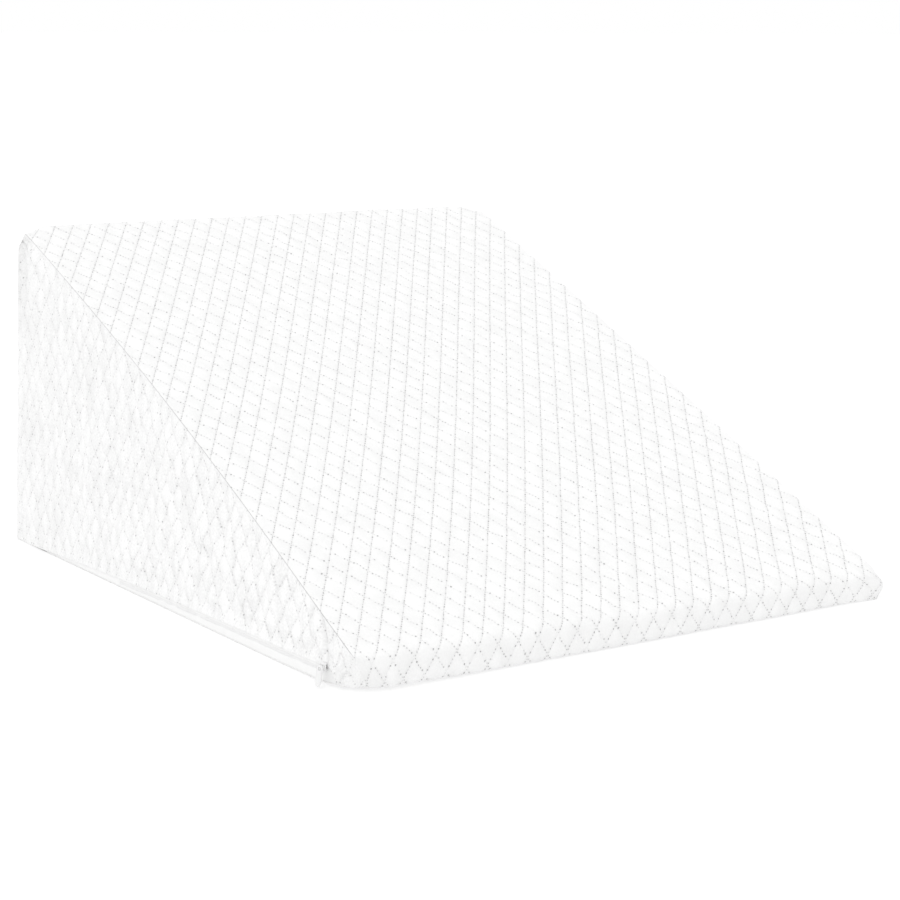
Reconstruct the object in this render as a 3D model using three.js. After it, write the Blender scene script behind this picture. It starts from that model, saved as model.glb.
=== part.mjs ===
// Leg pillow: a foam wedge in a taut zip-off cover of diamond knit, in millimetres, +Z up.
// X runs across, Y from the low nose to the tall back. The origin is under the middle of the whole.
import * as THREE from 'three';

// Wedge
const WIDTH = 550;
const DEPTH = 635;
const RIDGE_HEIGHT = 311;     // where slope and back would meet if the ridge were sharp
const BACK_LEAN = 5;          // the back leans forward by this much at the ridge
const NOSE_HEIGHT = 28;       // where slope and nose would meet if the crease were sharp
const NOSE_TWIST = 6;         // the left end of the nose is this much taller than the right end
const SLOPE_CROWN = 5;        // rise of the slope over its chord
const SIDE_LEAN = 9;          // each side leans in by this much at the ridge
const SIDE_BOW = 5.4;         // and draws in by this much more half way along the slope

// Roundings: the length that each takes off both lines of its corner
const RIDGE_ROUND = 14;
const CREASE_ROUND = 6;
const NOSE_ROUND = 4.5;
const HEEL_ROUND = 5;
const LEFT_CORNER_LOW = 46;   // radius of the nose's left upright corner at the floor
const RIGHT_CORNER_LOW = 4;   // and of its right one
const FRONT_CORNER_TOP = 9;   // and of both at the crease
const BACK_CORNER = 8;
const SIDE_EDGE = 2;          // radius between side and base

// The nose's right end stands out like an ear, and the toe lifts off the floor at its left end
const NOSE_EAR = 9.5;
const EAR_REACH = 24;
const TOE_LIFT = 2.5;
const TOE_REACH = 180;

// Cloth
const KNIT_ACROSS = 19.7;     // one diamond of the knit across the slope
const KNIT_ALONG = 29.75;     // one diamond down the slope
const PANEL_KNIT_UP = 28.4;   // one diamond up the side panel
const WRAP_PHASE = 0.66;      // part of a diamond at the slope's left edge
const RIDGE_PHASE = -0.79;    // and at the ridge
const KNIT_RELIEF = 1.2;      // depth of the channels between diamonds
const PANEL_SHEET = 2;
const GAP = 0.3;              // between pieces that touch
const SEAM_DIP = 1;           // the seam draws both cloths down by this much
const SEAM_REACH = 3;

// Zip along the lower edge of the left side panel
const ZIP_BAND = 12.8;        // height of the plain band at its front end
const BAND_FRONT = 20;        // where the panel's lower edge leaves the floor
const BAND_FULL = 34;         // and where it is above the whole band
const ZIP_BACK = 600;         // where the band has run under the base
const BAND_FALL = 2.2;        // power of the band's fall towards the back
const TAPE_SHEET = 1.2;
const TAPE_FRONT = 40;
const TAPE_BACK = 490;
const TAPE_LOW = 2.8;
const TEETH_HEIGHT = 3;
const TEETH_SHEET = 1.2;
const TEETH_BACK = 400;
const SLIDER = { long: 9, wide: 6.4, body: 2.8, bridge: 2.2, y: 40, z: 10.6 };
const PULLER = { long: 17, wide: 5.6, sheet: 1.3, hole: 1.3, out: 10.5, forward: 4.5 };

const SAMPLES = 2400;
const SIDE_X = WIDTH / 2;
const PANEL_INNER_X = SIDE_X - PANEL_SHEET;
const BODY_X = PANEL_INNER_X - GAP;
const clamp01 = (v) => Math.min(Math.max(v, 0), 1);
const mix = (a, b, t) => a + (b - a) * t;

// The wedge's section in the plane of Y and Z. It starts on the back just under the ridge and runs down the
// slope, round the nose, back along the base and up the back.
function sectionCurve() {
  const ridge = new THREE.Vector2(DEPTH - BACK_LEAN, RIDGE_HEIGHT);
  const crease = new THREE.Vector2(0, NOSE_HEIGHT);
  const toe = new THREE.Vector2(0, 0);
  const heel = new THREE.Vector2(DEPTH, 0);
  const toward = (from, to, length) => to.clone().sub(from).setLength(length).add(from);
  const start = toward(ridge, heel, RIDGE_ROUND);
  const slopeStart = toward(ridge, crease, RIDGE_ROUND);
  const slopeEnd = toward(crease, ridge, CREASE_ROUND);
  const chord = slopeEnd.clone().sub(slopeStart).normalize();
  const bulge = slopeStart.clone().add(slopeEnd).multiplyScalar(0.5);
  bulge.add(new THREE.Vector2(chord.y, -chord.x).multiplyScalar(2 * SLOPE_CROWN));
  const noseTop = toward(crease, toe, CREASE_ROUND);
  const noseLow = toward(toe, crease, NOSE_ROUND);
  const baseStart = toward(toe, heel, NOSE_ROUND);
  const baseEnd = toward(heel, toe, HEEL_ROUND);
  const backLow = toward(heel, ridge, HEEL_ROUND);
  const curve = new THREE.Path();
  curve.moveTo(start.x, start.y);
  curve.quadraticCurveTo(ridge.x, ridge.y, slopeStart.x, slopeStart.y);
  curve.quadraticCurveTo(bulge.x, bulge.y, slopeEnd.x, slopeEnd.y);
  curve.quadraticCurveTo(crease.x, crease.y, noseTop.x, noseTop.y);
  curve.lineTo(noseLow.x, noseLow.y);
  curve.quadraticCurveTo(toe.x, toe.y, baseStart.x, baseStart.y);
  curve.lineTo(baseEnd.x, baseEnd.y);
  curve.quadraticCurveTo(heel.x, heel.y, backLow.x, backLow.y);
  curve.lineTo(start.x, start.y);
  return curve;
}

const section = sectionCurve();
const sectionLength = section.getLength();
const ridgeApex = section.curves[0].getLength() / 2;

// A point of the section s mm from its start, moved inwards by depth.
function sectionPoint(s, depth = 0) {
  const wrap = THREE.MathUtils.euclideanModulo;
  const at = (length) => section.getPoint(wrap(length, sectionLength) / sectionLength);
  const step = 0.5;
  const along = at(s + step).sub(at(s - step)).normalize();
  return at(s).add(new THREE.Vector2(-along.y, along.x).multiplyScalar(depth));
}

// Height of the plane slope over a point of the base.
const slopeHeight = (y) => mix(NOSE_HEIGHT, RIDGE_HEIGHT, y / (DEPTH - BACK_LEAN));

// Takes the corner of a square of side r to a quarter circle: a and b run from 0 to r towards the corner.
function roundCorner(a, b, r) {
  if (a <= 0 || b <= 0) {
    return [a, b];
  }
  return [a * Math.sqrt(1 - (b * b) / (2 * r * r)), b * Math.sqrt(1 - (a * a) / (2 * r * r))];
}

// How far the nose's right end stands out: most at the front, half way up the nose.
function noseEar(x, y, z) {
  const upNose = Math.sin(Math.PI * clamp01(z / NOSE_HEIGHT));
  return x < 0 ? 0 : NOSE_EAR * Math.exp(-((y / EAR_REACH) ** 2)) * Math.pow(Math.max(upNose, 0), 1.3);
}

// How far the low cloth is lifted, most at the toe's left corner.
function toeLift(x, y, z) {
  const near = clamp01(1 - Math.hypot(x + SIDE_X, 1.6 * y) / TOE_REACH);
  return TOE_LIFT * Math.pow(near, 1.3) * clamp01(1 - z / 60);
}

// Takes a point of the sharp wedge to the soft one: leaning and drawn-in sides, round corners, uneven nose.
function place(x, y, z) {
  const rise = clamp01(z / slopeHeight(y));
  const bow = Math.sin(Math.PI * clamp01(y / DEPTH));
  const ear = noseEar(x, y, z);
  const drawn = SIDE_X - SIDE_LEAN * (z / RIDGE_HEIGHT) - SIDE_BOW * bow * rise;
  const half = drawn + ear;
  const side = Math.sign(x);
  let across = Math.abs(x) * (drawn / SIDE_X) + ear * Math.pow(Math.abs(x) / SIDE_X, 8);
  let depth = y;
  let up = z;
  const lowCorner = x < 0 ? LEFT_CORNER_LOW : RIGHT_CORNER_LOW;
  const front = mix(lowCorner, FRONT_CORNER_TOP, clamp01(z / NOSE_HEIGHT));
  const [frontAcross, frontIn] = roundCorner(across - half + front, front - depth, front);
  across = frontAcross + half - front;
  depth = front - frontIn;
  const back = DEPTH - BACK_LEAN * (z / RIDGE_HEIGHT);
  const corner = BACK_CORNER;
  const [backAcross, backIn] = roundCorner(across - half + corner, depth - back + corner, corner);
  across = backAcross + half - corner;
  depth = backIn + back - corner;
  const [lowAcross, lowIn] = roundCorner(across - half + SIDE_EDGE, SIDE_EDGE - up, SIDE_EDGE);
  across = lowAcross + half - SIDE_EDGE;
  up = SIDE_EDGE - lowIn;
  up += toeLift(x, y, z) - NOSE_TWIST * (x / WIDTH) * (1 - clamp01(y / DEPTH)) * rise;
  return [side * across, depth, up];
}

// Height of a diamond of the knit over its channels: 0 where a + b or a - b is whole, 1 at the middles.
function diamond(a, b) {
  const fromLine = (v) => Math.abs(v - Math.round(v));
  return 2 * Math.min(fromLine(a + b), fromLine(a - b));
}

// Gathers points and triangles of one closed body.
class Shell {
  constructor() {
    this.points = [];
    this.faces = [];
  }

  point(x, y, z) {
    this.points.push(...place(x, y, z));
    return this.points.length / 3 - 1;
  }

  triangle(a, b, c, flip = false) {
    this.faces.push(...(flip ? [a, c, b] : [a, b, c]));
  }

  geometry() {
    const geometry = new THREE.BufferGeometry();
    geometry.setAttribute('position', new THREE.Float32BufferAttribute(this.points, 3));
    geometry.setIndex(this.faces);
    geometry.computeVertexNormals();
    return geometry;
  }
}

// Joins two chains of { id, s } by triangles, taking the next nearer point of either chain.
function joinChains(shell, low, high) {
  let i = 0;
  let j = 0;
  while (i < low.length - 1 || j < high.length - 1) {
    const lowNext = i < low.length - 1 ? low[i + 1].s : Infinity;
    const highNext = j < high.length - 1 ? high[j + 1].s : Infinity;
    if (lowNext <= highNext) {
      shell.triangle(low[i].id, low[i + 1].id, high[j].id);
      i += 1;
    } else {
      shell.triangle(low[i].id, high[j + 1].id, high[j].id);
      j += 1;
    }
  }
}

// Rows of the wrap panel, as lengths along the section: on the knit's half diamonds over slope, nose and
// back, and a few more where the section turns. Each row says whether the knit is raised there.
function wrapRows() {
  const half = KNIT_ALONG / 2;
  const lengths = section.getCurveLengths();
  const baseStart = lengths[4];
  const baseEnd = lengths[5];
  const rows = [{ s: ridgeApex, raised: 1 }];
  for (let s = ridgeApex - RIDGE_PHASE * KNIT_ALONG - half; s < lengths[3] + NOSE_ROUND / 2; s += half) {
    rows.push({ s, raised: 1 });
  }
  for (const inset of [0, 7, 14, 22, 300]) {
    rows.push({ s: baseStart + inset, raised: 0 });
  }
  for (const inset of [20, 5, 0]) {
    rows.push({ s: baseEnd - inset, raised: 0 });
  }
  rows.push({ s: lengths[6], raised: 0 });
  const firstBack = sectionLength + ridgeApex - (1 + RIDGE_PHASE) * KNIT_ALONG;
  const backRows = Math.floor((firstBack - lengths[6] - half / 2) / half);
  for (let row = backRows; row >= 0; row -= 1) {
    rows.push({ s: firstBack - row * half, raised: 1 });
  }
  return rows;
}

// Columns of the wrap panel: the knit's half diamonds, and one line just inside each seam.
function wrapColumns() {
  const edge = BODY_X - SEAM_REACH;
  const half = KNIT_ACROSS / 2;
  const columns = [-edge];
  for (let x = -SIDE_X - WRAP_PHASE * KNIT_ACROSS + 3 * half; x < edge - half / 3; x += half) {
    columns.push(x);
  }
  columns.push(edge);
  return columns;
}

// Columns of a side in Y, each with its lowest and highest point on the outline and their lengths along it.
function sideColumns() {
  const outline = [];
  for (let i = 0; i <= SAMPLES; i += 1) {
    const s = (sectionLength * i) / SAMPLES;
    const p = sectionPoint(s, SEAM_DIP);
    outline.push({ s, y: p.x, z: p.y });
  }
  const nose = outline.reduce((best, p) => (p.y < best.y - 1e-6 ? p : best));
  const heel = outline.reduce((best, p) => (p.y > best.y ? p : best));
  const upper = outline.filter((p) => p.s <= nose.s);
  const wrapped = outline.filter((p) => p.s >= heel.s && p.s < sectionLength);
  upper.unshift(...wrapped.map((p) => ({ ...p, s: p.s - sectionLength })));
  upper.reverse();
  const lower = outline.filter((p) => p.s >= nose.s && p.s <= heel.s);
  const find = (chain, y) => {
    const next = Math.max(1, chain.findIndex((p) => p.y >= y));
    const [p, q] = [chain[next - 1], chain[next]];
    const t = clamp01((y - p.y) / (q.y - p.y || 1));
    return { s: mix(p.s, q.s, t), z: mix(p.z, q.z, t) };
  };
  const half = KNIT_ACROSS / 2;
  const places = [nose.y + 0.8, nose.y + 2.2];
  for (let y = half / 2; y < DEPTH - 2 * half; y += y < LEFT_CORNER_LOW ? half / 2 : half) {
    places.push(y);
  }
  for (const inset of [20, 15, 11, 8, 5.5, 3, 1]) {
    places.push(heel.y - inset);
  }
  return places.map((y) => ({ y, high: find(upper, y), low: find(lower, y) }));
}

const columns = sideColumns();

// One face of a side at x: triangles between neighbouring columns of points, diagonals along the channels.
// levels(column) lists the heights of a column's points, and the two end columns keep only the outline's.
function sideFace(shell, levels, xAt, flip) {
  const grid = columns.map((column, c) => {
    const list = levels(column);
    const ends = c === 0 || c === columns.length - 1;
    const kept = ends ? [list[0], list[list.length - 1]] : list;
    return kept.map(({ z, crossing }) => ({ z, crossing, id: shell.point(xAt(column.y, z), column.y, z) }));
  });
  for (let c = 0; c < grid.length - 1; c += 1) {
    const [near, far] = [grid[c], grid[c + 1]];
    let i = 0;
    let j = 0;
    while (i < near.length - 1 || j < far.length - 1) {
      const nearNext = i < near.length - 1 ? near[i + 1].z : Infinity;
      const farNext = j < far.length - 1 ? far[j + 1].z : Infinity;
      const even = Math.abs(nearNext - farNext) < 0.01 && Math.abs(near[i].z - far[j].z) < 0.01;
      if (even ? !near[i].crossing : nearNext <= farNext) {
        shell.triangle(near[i].id, far[j].id, near[i + 1].id, flip);
        i += 1;
      } else {
        shell.triangle(near[i].id, far[j].id, far[j + 1].id, flip);
        j += 1;
      }
    }
  }
  const low = grid.map((column) => column[0].id);
  const high = grid.map((column) => column[column.length - 1].id);
  return { low, high };
}

// The lowest z of the left panel: it stops above the zip's band.
const bandHeight = (y) => ZIP_BAND * (1 - Math.pow(clamp01(y / ZIP_BACK), BAND_FALL));
const bandOpen = (y) => clamp01((y - BAND_FRONT) / (BAND_FULL - BAND_FRONT));

// Heights of the plain faces: only what the roundings at the base and at the nose's corner need.
function plainLevels(floorAt) {
  return (column) => {
    const low = Math.max(column.low.z, floorAt(column.y));
    const bends = [2, SIDE_EDGE];
    if (column.y < LEFT_CORNER_LOW + KNIT_ACROSS) {
      bends.push(9, ZIP_BAND, 20, NOSE_HEIGHT);
    }
    const extra = bends.filter((z) => z > low + 0.5 && z < column.high.z - 1);
    return [low, ...extra, column.high.z].map((z) => ({ z, crossing: false }));
  };
}

// Heights of the raised face: the knit's half diamonds between the outline's lowest and highest point.
function knitLevels(floorAt) {
  const half = PANEL_KNIT_UP / 2;
  return (column) => {
    const low = Math.max(column.low.z, floorAt(column.y));
    const list = [{ z: low, crossing: false }];
    const acrossStep = Math.round(column.y / (KNIT_ACROSS / 2));
    for (let row = 1; row * half < column.high.z - 2; row += 1) {
      if (row * half > low + 2) {
        list.push({ z: row * half, crossing: (acrossStep + row) % 2 === 0 });
      }
    }
    list.push({ z: column.high.z, crossing: false });
    return list;
  };
}

// The filled wedge with its wrap panel: a ring of rows and columns, and a plain face at each side.
function wedgeCushion() {
  const shell = new Shell();
  const rows = wrapRows();
  const across = wrapColumns();
  const ids = rows.map(({ s, raised }) => across.map((x) => {
    const a = (x + SIDE_X) / KNIT_ACROSS + WRAP_PHASE;
    const fromRidge = s > sectionLength / 2 + ridgeApex ? s - sectionLength - ridgeApex : s - ridgeApex;
    const b = fromRidge / KNIT_ALONG + RIDGE_PHASE;
    const p = sectionPoint(s, raised * KNIT_RELIEF * (1 - diamond(a, b)));
    return { id: shell.point(x, p.x, raised ? p.y : Math.max(p.y, 0)), crossing: diamond(a, b) < 0.01 };
  }));
  for (let r = 0; r < rows.length; r += 1) {
    const [here, next] = [ids[r], ids[(r + 1) % rows.length]];
    for (let c = 0; c < across.length - 1; c += 1) {
      const [p, q, u, v] = [here[c], next[c], here[c + 1], next[c + 1]];
      if (q.crossing || u.crossing) {
        shell.triangle(p.id, q.id, u.id);
        shell.triangle(q.id, v.id, u.id);
      } else {
        shell.triangle(p.id, q.id, v.id);
        shell.triangle(p.id, v.id, u.id);
      }
    }
  }
  for (const side of [-1, 1]) {
    const { low, high } = sideFace(shell, plainLevels(() => 0), () => side * BODY_X, side < 0);
    const ring = [
      ...columns.map((column, i) => ({ id: high[i], s: column.high.s })),
      ...columns.map((column, i) => ({ id: low[i], s: column.low.s })),
    ];
    for (const p of ring) {
      p.s = THREE.MathUtils.euclideanModulo(p.s - ridgeApex, sectionLength);
    }
    ring.sort((p, q) => p.s - q.s);
    ring.push({ ...ring[0], s: ring[0].s + sectionLength });
    const last = side < 0 ? 0 : across.length - 1;
    const edge = rows.map(({ s }, r) => ({ id: ids[r][last].id, s: s - ridgeApex }));
    edge.push({ ...edge[0], s: sectionLength });
    joinChains(shell, side < 0 ? ring : edge, side < 0 ? edge : ring);
  }
  return shell.geometry();
}

// A sheet on one side between two x: the raised face outside, the plain face inside, the rim between them.
function sideSheet(side, outerLevels, innerLevels, outerX, innerX, relief) {
  const shell = new Shell();
  const raisedX = (y, z) => side * (outerX - relief * (1 - diamond(y / KNIT_ACROSS, z / PANEL_KNIT_UP)));
  const outer = sideFace(shell, outerLevels, raisedX, side < 0);
  const inner = sideFace(shell, innerLevels, () => side * innerX, side > 0);
  const [lowX, highX] = side < 0 ? [outer, inner] : [inner, outer];
  const loop = (face) => [...face.low, ...face.high.slice().reverse()];
  const [a, b] = [loop(lowX), loop(highX)];
  for (let k = 0; k < a.length; k += 1) {
    const next = (k + 1) % a.length;
    shell.triangle(a[k], a[next], b[next]);
    shell.triangle(a[k], b[next], b[k]);
  }
  return shell.geometry();
}

function sidePanel(side) {
  const floorAt = side < 0 ? (y) => bandHeight(y) * bandOpen(y) : () => 0;
  return sideSheet(side, knitLevels(floorAt), plainLevels(floorAt), SIDE_X, PANEL_INNER_X, KNIT_RELIEF * 0.7);
}

// A strip along the left side: from y0 to y1, between two heights and two distances from the middle.
function zipStrip(y0, y1, lowAt, highAt, outerX, innerX, steps) {
  const shell = new Shell();
  const rings = [];
  for (let i = 0; i <= steps; i += 1) {
    const y = mix(y0, y1, i / steps);
    const corners = [[outerX, lowAt(y)], [outerX, highAt(y)], [innerX, highAt(y)], [innerX, lowAt(y)]];
    rings.push(corners.map(([x, z]) => shell.point(-x, y, z)));
  }
  for (let i = 0; i < steps; i += 1) {
    for (let k = 0; k < 4; k += 1) {
      const next = (k + 1) % 4;
      shell.triangle(rings[i][k], rings[i][next], rings[i + 1][k]);
      shell.triangle(rings[i][next], rings[i + 1][next], rings[i + 1][k]);
    }
  }
  const [first, last] = [rings[0], rings[steps]];
  shell.triangle(first[0], first[2], first[1]);
  shell.triangle(first[0], first[3], first[2]);
  shell.triangle(last[0], last[1], last[2]);
  shell.triangle(last[0], last[2], last[3]);
  return shell.geometry();
}

const TAPE_OUTER_X = PANEL_INNER_X + TAPE_SHEET;
const TEETH_OUTER_X = TAPE_OUTER_X + GAP + TEETH_SHEET;

function zipTape() {
  const high = (y) => bandHeight(y) - GAP;
  return zipStrip(TAPE_FRONT, TAPE_BACK, () => TAPE_LOW, high, TAPE_OUTER_X, PANEL_INNER_X, 40);
}

function zipTeeth() {
  const high = (y) => bandHeight(y) - 2 * GAP;
  const low = (y) => high(y) - TEETH_HEIGHT;
  const front = SLIDER.y + SLIDER.long / 2 + GAP;
  return zipStrip(front, TEETH_BACK, low, high, TEETH_OUTER_X, TAPE_OUTER_X + GAP, 22);
}

// Slider: a low body on the tape with a bridge over a slot, drawn from above and extruded to its height.
function zipSlider() {
  const { long, wide, body, bridge } = SLIDER;
  const wall = 0.9;
  const outline = new THREE.Shape();
  outline.moveTo(-long / 2, 0);
  outline.lineTo(long / 2, 0);
  outline.lineTo(long / 2, body * 0.6);
  outline.quadraticCurveTo(long / 2, body, long / 2 - 1.2, body);
  outline.quadraticCurveTo(long / 2 - 1.6, body + bridge, 0, body + bridge);
  outline.quadraticCurveTo(-long / 2 + 1.6, body + bridge, -long / 2 + 1.2, body);
  outline.quadraticCurveTo(-long / 2, body, -long / 2, body * 0.6);
  const slot = new THREE.Path();
  const slotFloor = body + 0.2;
  slot.moveTo(-long / 4, slotFloor);
  slot.quadraticCurveTo(0, body + 2 * (bridge - wall), long / 4, slotFloor);
  outline.holes.push(slot);
  return new THREE.ExtrudeGeometry(outline, { depth: wide, bevelEnabled: false, curveSegments: 5 });
}

// Puller: a flat tab with round ends and a small hole near the slider.
function zipPuller() {
  const { long, wide, sheet, hole } = PULLER;
  const r = wide / 2;
  const outline = new THREE.Shape();
  outline.absarc(0, 0, r, Math.PI / 2, (3 * Math.PI) / 2, false);
  outline.absarc(long - wide, 0, r, -Math.PI / 2, Math.PI / 2, false);
  outline.holes.push(new THREE.Path().absarc(0.4, 0, hole, 0, 2 * Math.PI, true));
  return new THREE.ExtrudeGeometry(outline, { depth: sheet, bevelEnabled: false, curveSegments: 6 });
}

const knitWhite = new THREE.MeshStandardMaterial({ color: 0xf4f4f3, roughness: 0.95, metalness: 0 });
const tapeWhite = new THREE.MeshStandardMaterial({ color: 0xf0f0ef, roughness: 0.85, metalness: 0 });
const plasticWhite = new THREE.MeshStandardMaterial({ color: 0xf2f2f1, roughness: 0.4, metalness: 0 });

function piece(name, geometry, material) {
  const mesh = new THREE.Mesh(geometry, material);
  mesh.name = name;
  return mesh;
}

const pillow = new THREE.Group();
pillow.add(piece('wedge_cushion', wedgeCushion(), knitWhite));
pillow.add(piece('side_panel_left', sidePanel(-1), knitWhite));
pillow.add(piece('side_panel_right', sidePanel(1), knitWhite));
pillow.add(piece('zip_tape', zipTape(), tapeWhite));
pillow.add(piece('zip_teeth', zipTeeth(), plasticWhite));

// The slider lies at the front end of the teeth, over the panel's edge, its bridge away from the cushion.
const seat = new THREE.Vector3(...place(-SIDE_X - GAP, SLIDER.y, SLIDER.z));
const slider = piece('zip_slider', zipSlider(), plasticWhite);
const sliderTurn = new THREE.Matrix4().makeBasis(
  new THREE.Vector3(0, -1, 0), new THREE.Vector3(-1, 0, 0), new THREE.Vector3(0, 0, -1),
);
slider.quaternion.setFromRotationMatrix(sliderTurn);
slider.position.copy(seat).add(new THREE.Vector3(0, 0, SLIDER.wide / 2));
pillow.add(slider);

// The puller leans from the slider's bridge out to the floor, and its round end rests against the bridge.
const puller = piece('zip_puller', zipPuller(), plasticWhite);
const pullerRound = PULLER.wide / 2;
const reach = PULLER.long - pullerRound;
const fall = seat.z - GAP;
const lean = Math.sqrt(reach * reach - fall * fall) / Math.hypot(PULLER.out, PULLER.forward);
const tabAlong = new THREE.Vector3(-PULLER.out * lean, -PULLER.forward * lean, -fall).normalize();
const tabAcross = new THREE.Vector3(0, 0, 1).cross(tabAlong).normalize();
const tabOut = tabAlong.clone().cross(tabAcross);
puller.quaternion.setFromRotationMatrix(new THREE.Matrix4().makeBasis(tabAlong, tabAcross, tabOut));
const inwards = pullerRound * Math.hypot(tabAlong.x, tabAcross.x) + Math.max(0, tabOut.x * PULLER.sheet);
const bridgeTop = SLIDER.body + SLIDER.bridge;
puller.position.copy(seat).add(new THREE.Vector3(-bridgeTop - GAP - inwards, 0, 0));
pillow.add(puller);

const box = new THREE.Box3().setFromObject(pillow, true);
const middle = box.getCenter(new THREE.Vector3());
pillow.position.set(-middle.x, -middle.y, -box.min.z);

export default pillow;
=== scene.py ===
"""A foam wedge pillow for raising the legs, in a taut zip-off cover of white diamond knit."""
import math

import bmesh
import bpy
import numpy as np
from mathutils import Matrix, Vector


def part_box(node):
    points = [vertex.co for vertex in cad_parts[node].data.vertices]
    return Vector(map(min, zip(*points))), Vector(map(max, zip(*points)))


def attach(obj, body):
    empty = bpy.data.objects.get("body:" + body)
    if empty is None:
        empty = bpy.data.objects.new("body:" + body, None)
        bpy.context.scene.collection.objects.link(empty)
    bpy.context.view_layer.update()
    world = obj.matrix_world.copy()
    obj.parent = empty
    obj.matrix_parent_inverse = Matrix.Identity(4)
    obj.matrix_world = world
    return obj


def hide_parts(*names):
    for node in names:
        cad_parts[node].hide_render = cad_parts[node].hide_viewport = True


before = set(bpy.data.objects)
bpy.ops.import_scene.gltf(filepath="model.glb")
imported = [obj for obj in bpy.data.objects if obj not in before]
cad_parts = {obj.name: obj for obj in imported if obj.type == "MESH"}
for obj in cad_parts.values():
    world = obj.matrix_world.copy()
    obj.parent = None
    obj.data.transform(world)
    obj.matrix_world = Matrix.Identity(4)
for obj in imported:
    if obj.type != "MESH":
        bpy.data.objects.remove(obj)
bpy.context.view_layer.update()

# Camera: it stands in front of the low nose and a little left of the pillow, and looks slightly down.
# Its place is counted in millimetres from the foot of the nose, half way between the wedge's two sides.
MM = 0.001
LEFT_FACE = 272.67
wedge_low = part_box("wedge_cushion")[0]
NOSE_FOOT = np.array([wedge_low[0] + LEFT_FACE * MM, wedge_low[1], 0.0])
CAMERA_PLACE = np.array([-1135.1, -1396.6, 506.4])
CAMERA_TURN = math.radians(-34.155)
CAMERA_TILT = math.radians(10.857)
CAMERA_ROLL = math.radians(0.395)
LENS = 90.1
SENSOR = 36.0


def camera_axes(turn, tilt, roll):
    """Rows right, up and back of a camera that is turned about the vertical, tilted down and rolled."""
    right = np.array([math.cos(turn), math.sin(turn), 0.0])
    back = np.array([math.sin(turn) * math.cos(tilt), -math.cos(turn) * math.cos(tilt), math.sin(tilt)])
    up = np.cross(back, right)
    rolled_right = right * math.cos(roll) + up * math.sin(roll)
    rolled_up = up * math.cos(roll) - right * math.sin(roll)
    return np.array([rolled_right, rolled_up, back])


def place_camera():
    """Adds the camera with a square sensor as wide as the picture."""
    data = bpy.data.cameras.new("camera")
    data.sensor_fit = "HORIZONTAL"
    data.sensor_width = SENSOR
    data.lens = LENS
    data.clip_end = 200.0
    camera = bpy.data.objects.new("camera", data)
    matrix = np.eye(4)
    matrix[:3, :3] = camera_axes(CAMERA_TURN, CAMERA_TILT, CAMERA_ROLL).T
    matrix[:3, 3] = NOSE_FOOT + CAMERA_PLACE * MM
    camera.matrix_world = matrix.T.tolist()
    bpy.context.scene.collection.objects.link(camera)
    bpy.context.scene.camera = camera


place_camera()

# Floor and light: a pale studio table that runs out of sight and is lit from below, under an even white sky
# like a light tent, with one broad lamp high on the left and a small softbox beside the low end of the left
# side. Together they leave hardly any shadow.
FLOOR_HALF = 60.0
FLOOR_WHITE = (0.40, 0.40, 0.40)
FLOOR_GLOW = 0.60
SKY = 1.0
LAMP_POWER = 0.53
LAMP_ANGLE = math.radians(50)
LAMP_TILT = math.radians(32)
LAMP_TURN = math.radians(-58)
FILL_POWER = 0.07
FILL_SIZE = 0.4
FILL_PLACE = (-0.78, -0.24, 0.2)


def new_material(name):
    """A material with an empty Principled shader. Returns both."""
    material = bpy.data.materials.new(name)
    material.use_nodes = True
    return material, material.node_tree.nodes["Principled BSDF"]


def studio():
    """Adds a flat square floor, an even sky, a soft sun and the softbox."""
    corners = np.array([[-1, -1], [1, -1], [1, 1], [-1, 1]]) * FLOOR_HALF
    mesh = bpy.data.meshes.new("floor")
    mesh.from_pydata(np.c_[corners, np.zeros(4)].tolist(), [], [(0, 1, 2, 3)])
    floor = bpy.data.objects.new("floor", mesh)
    material, shader = new_material("pale floor")
    shader.inputs["Base Color"].default_value = (*FLOOR_WHITE, 1.0)
    shader.inputs["Emission Color"].default_value = (1.0, 1.0, 1.0, 1.0)
    shader.inputs["Emission Strength"].default_value = FLOOR_GLOW
    shader.inputs["Roughness"].default_value = 1.0
    shader.inputs["Specular IOR Level"].default_value = 0.0
    mesh.materials.append(material)
    bpy.context.scene.collection.objects.link(floor)
    world = bpy.data.worlds.new("even sky")
    world.use_nodes = True
    sky = world.node_tree.nodes["Background"]
    sky.inputs["Color"].default_value = (1.0, 1.0, 1.0, 1.0)
    sky.inputs["Strength"].default_value = SKY
    bpy.context.scene.world = world
    lamp = bpy.data.lights.new("broad lamp", "SUN")
    lamp.energy = LAMP_POWER
    lamp.angle = LAMP_ANGLE
    lamp_object = bpy.data.objects.new("broad lamp", lamp)
    lamp_object.rotation_euler = (LAMP_TILT, 0.0, LAMP_TURN)
    bpy.context.scene.collection.objects.link(lamp_object)
    fill = bpy.data.lights.new("softbox", "AREA")
    fill.energy = FILL_POWER
    fill.shape = "DISK"
    fill.size = FILL_SIZE
    fill_object = bpy.data.objects.new("softbox", fill)
    fill_object.location = FILL_PLACE
    fill_object.rotation_euler = (0.0, math.radians(-90), 0.0)
    bpy.context.scene.collection.objects.link(fill_object)
    bpy.context.scene.view_settings.view_transform = "Standard"


studio()

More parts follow.
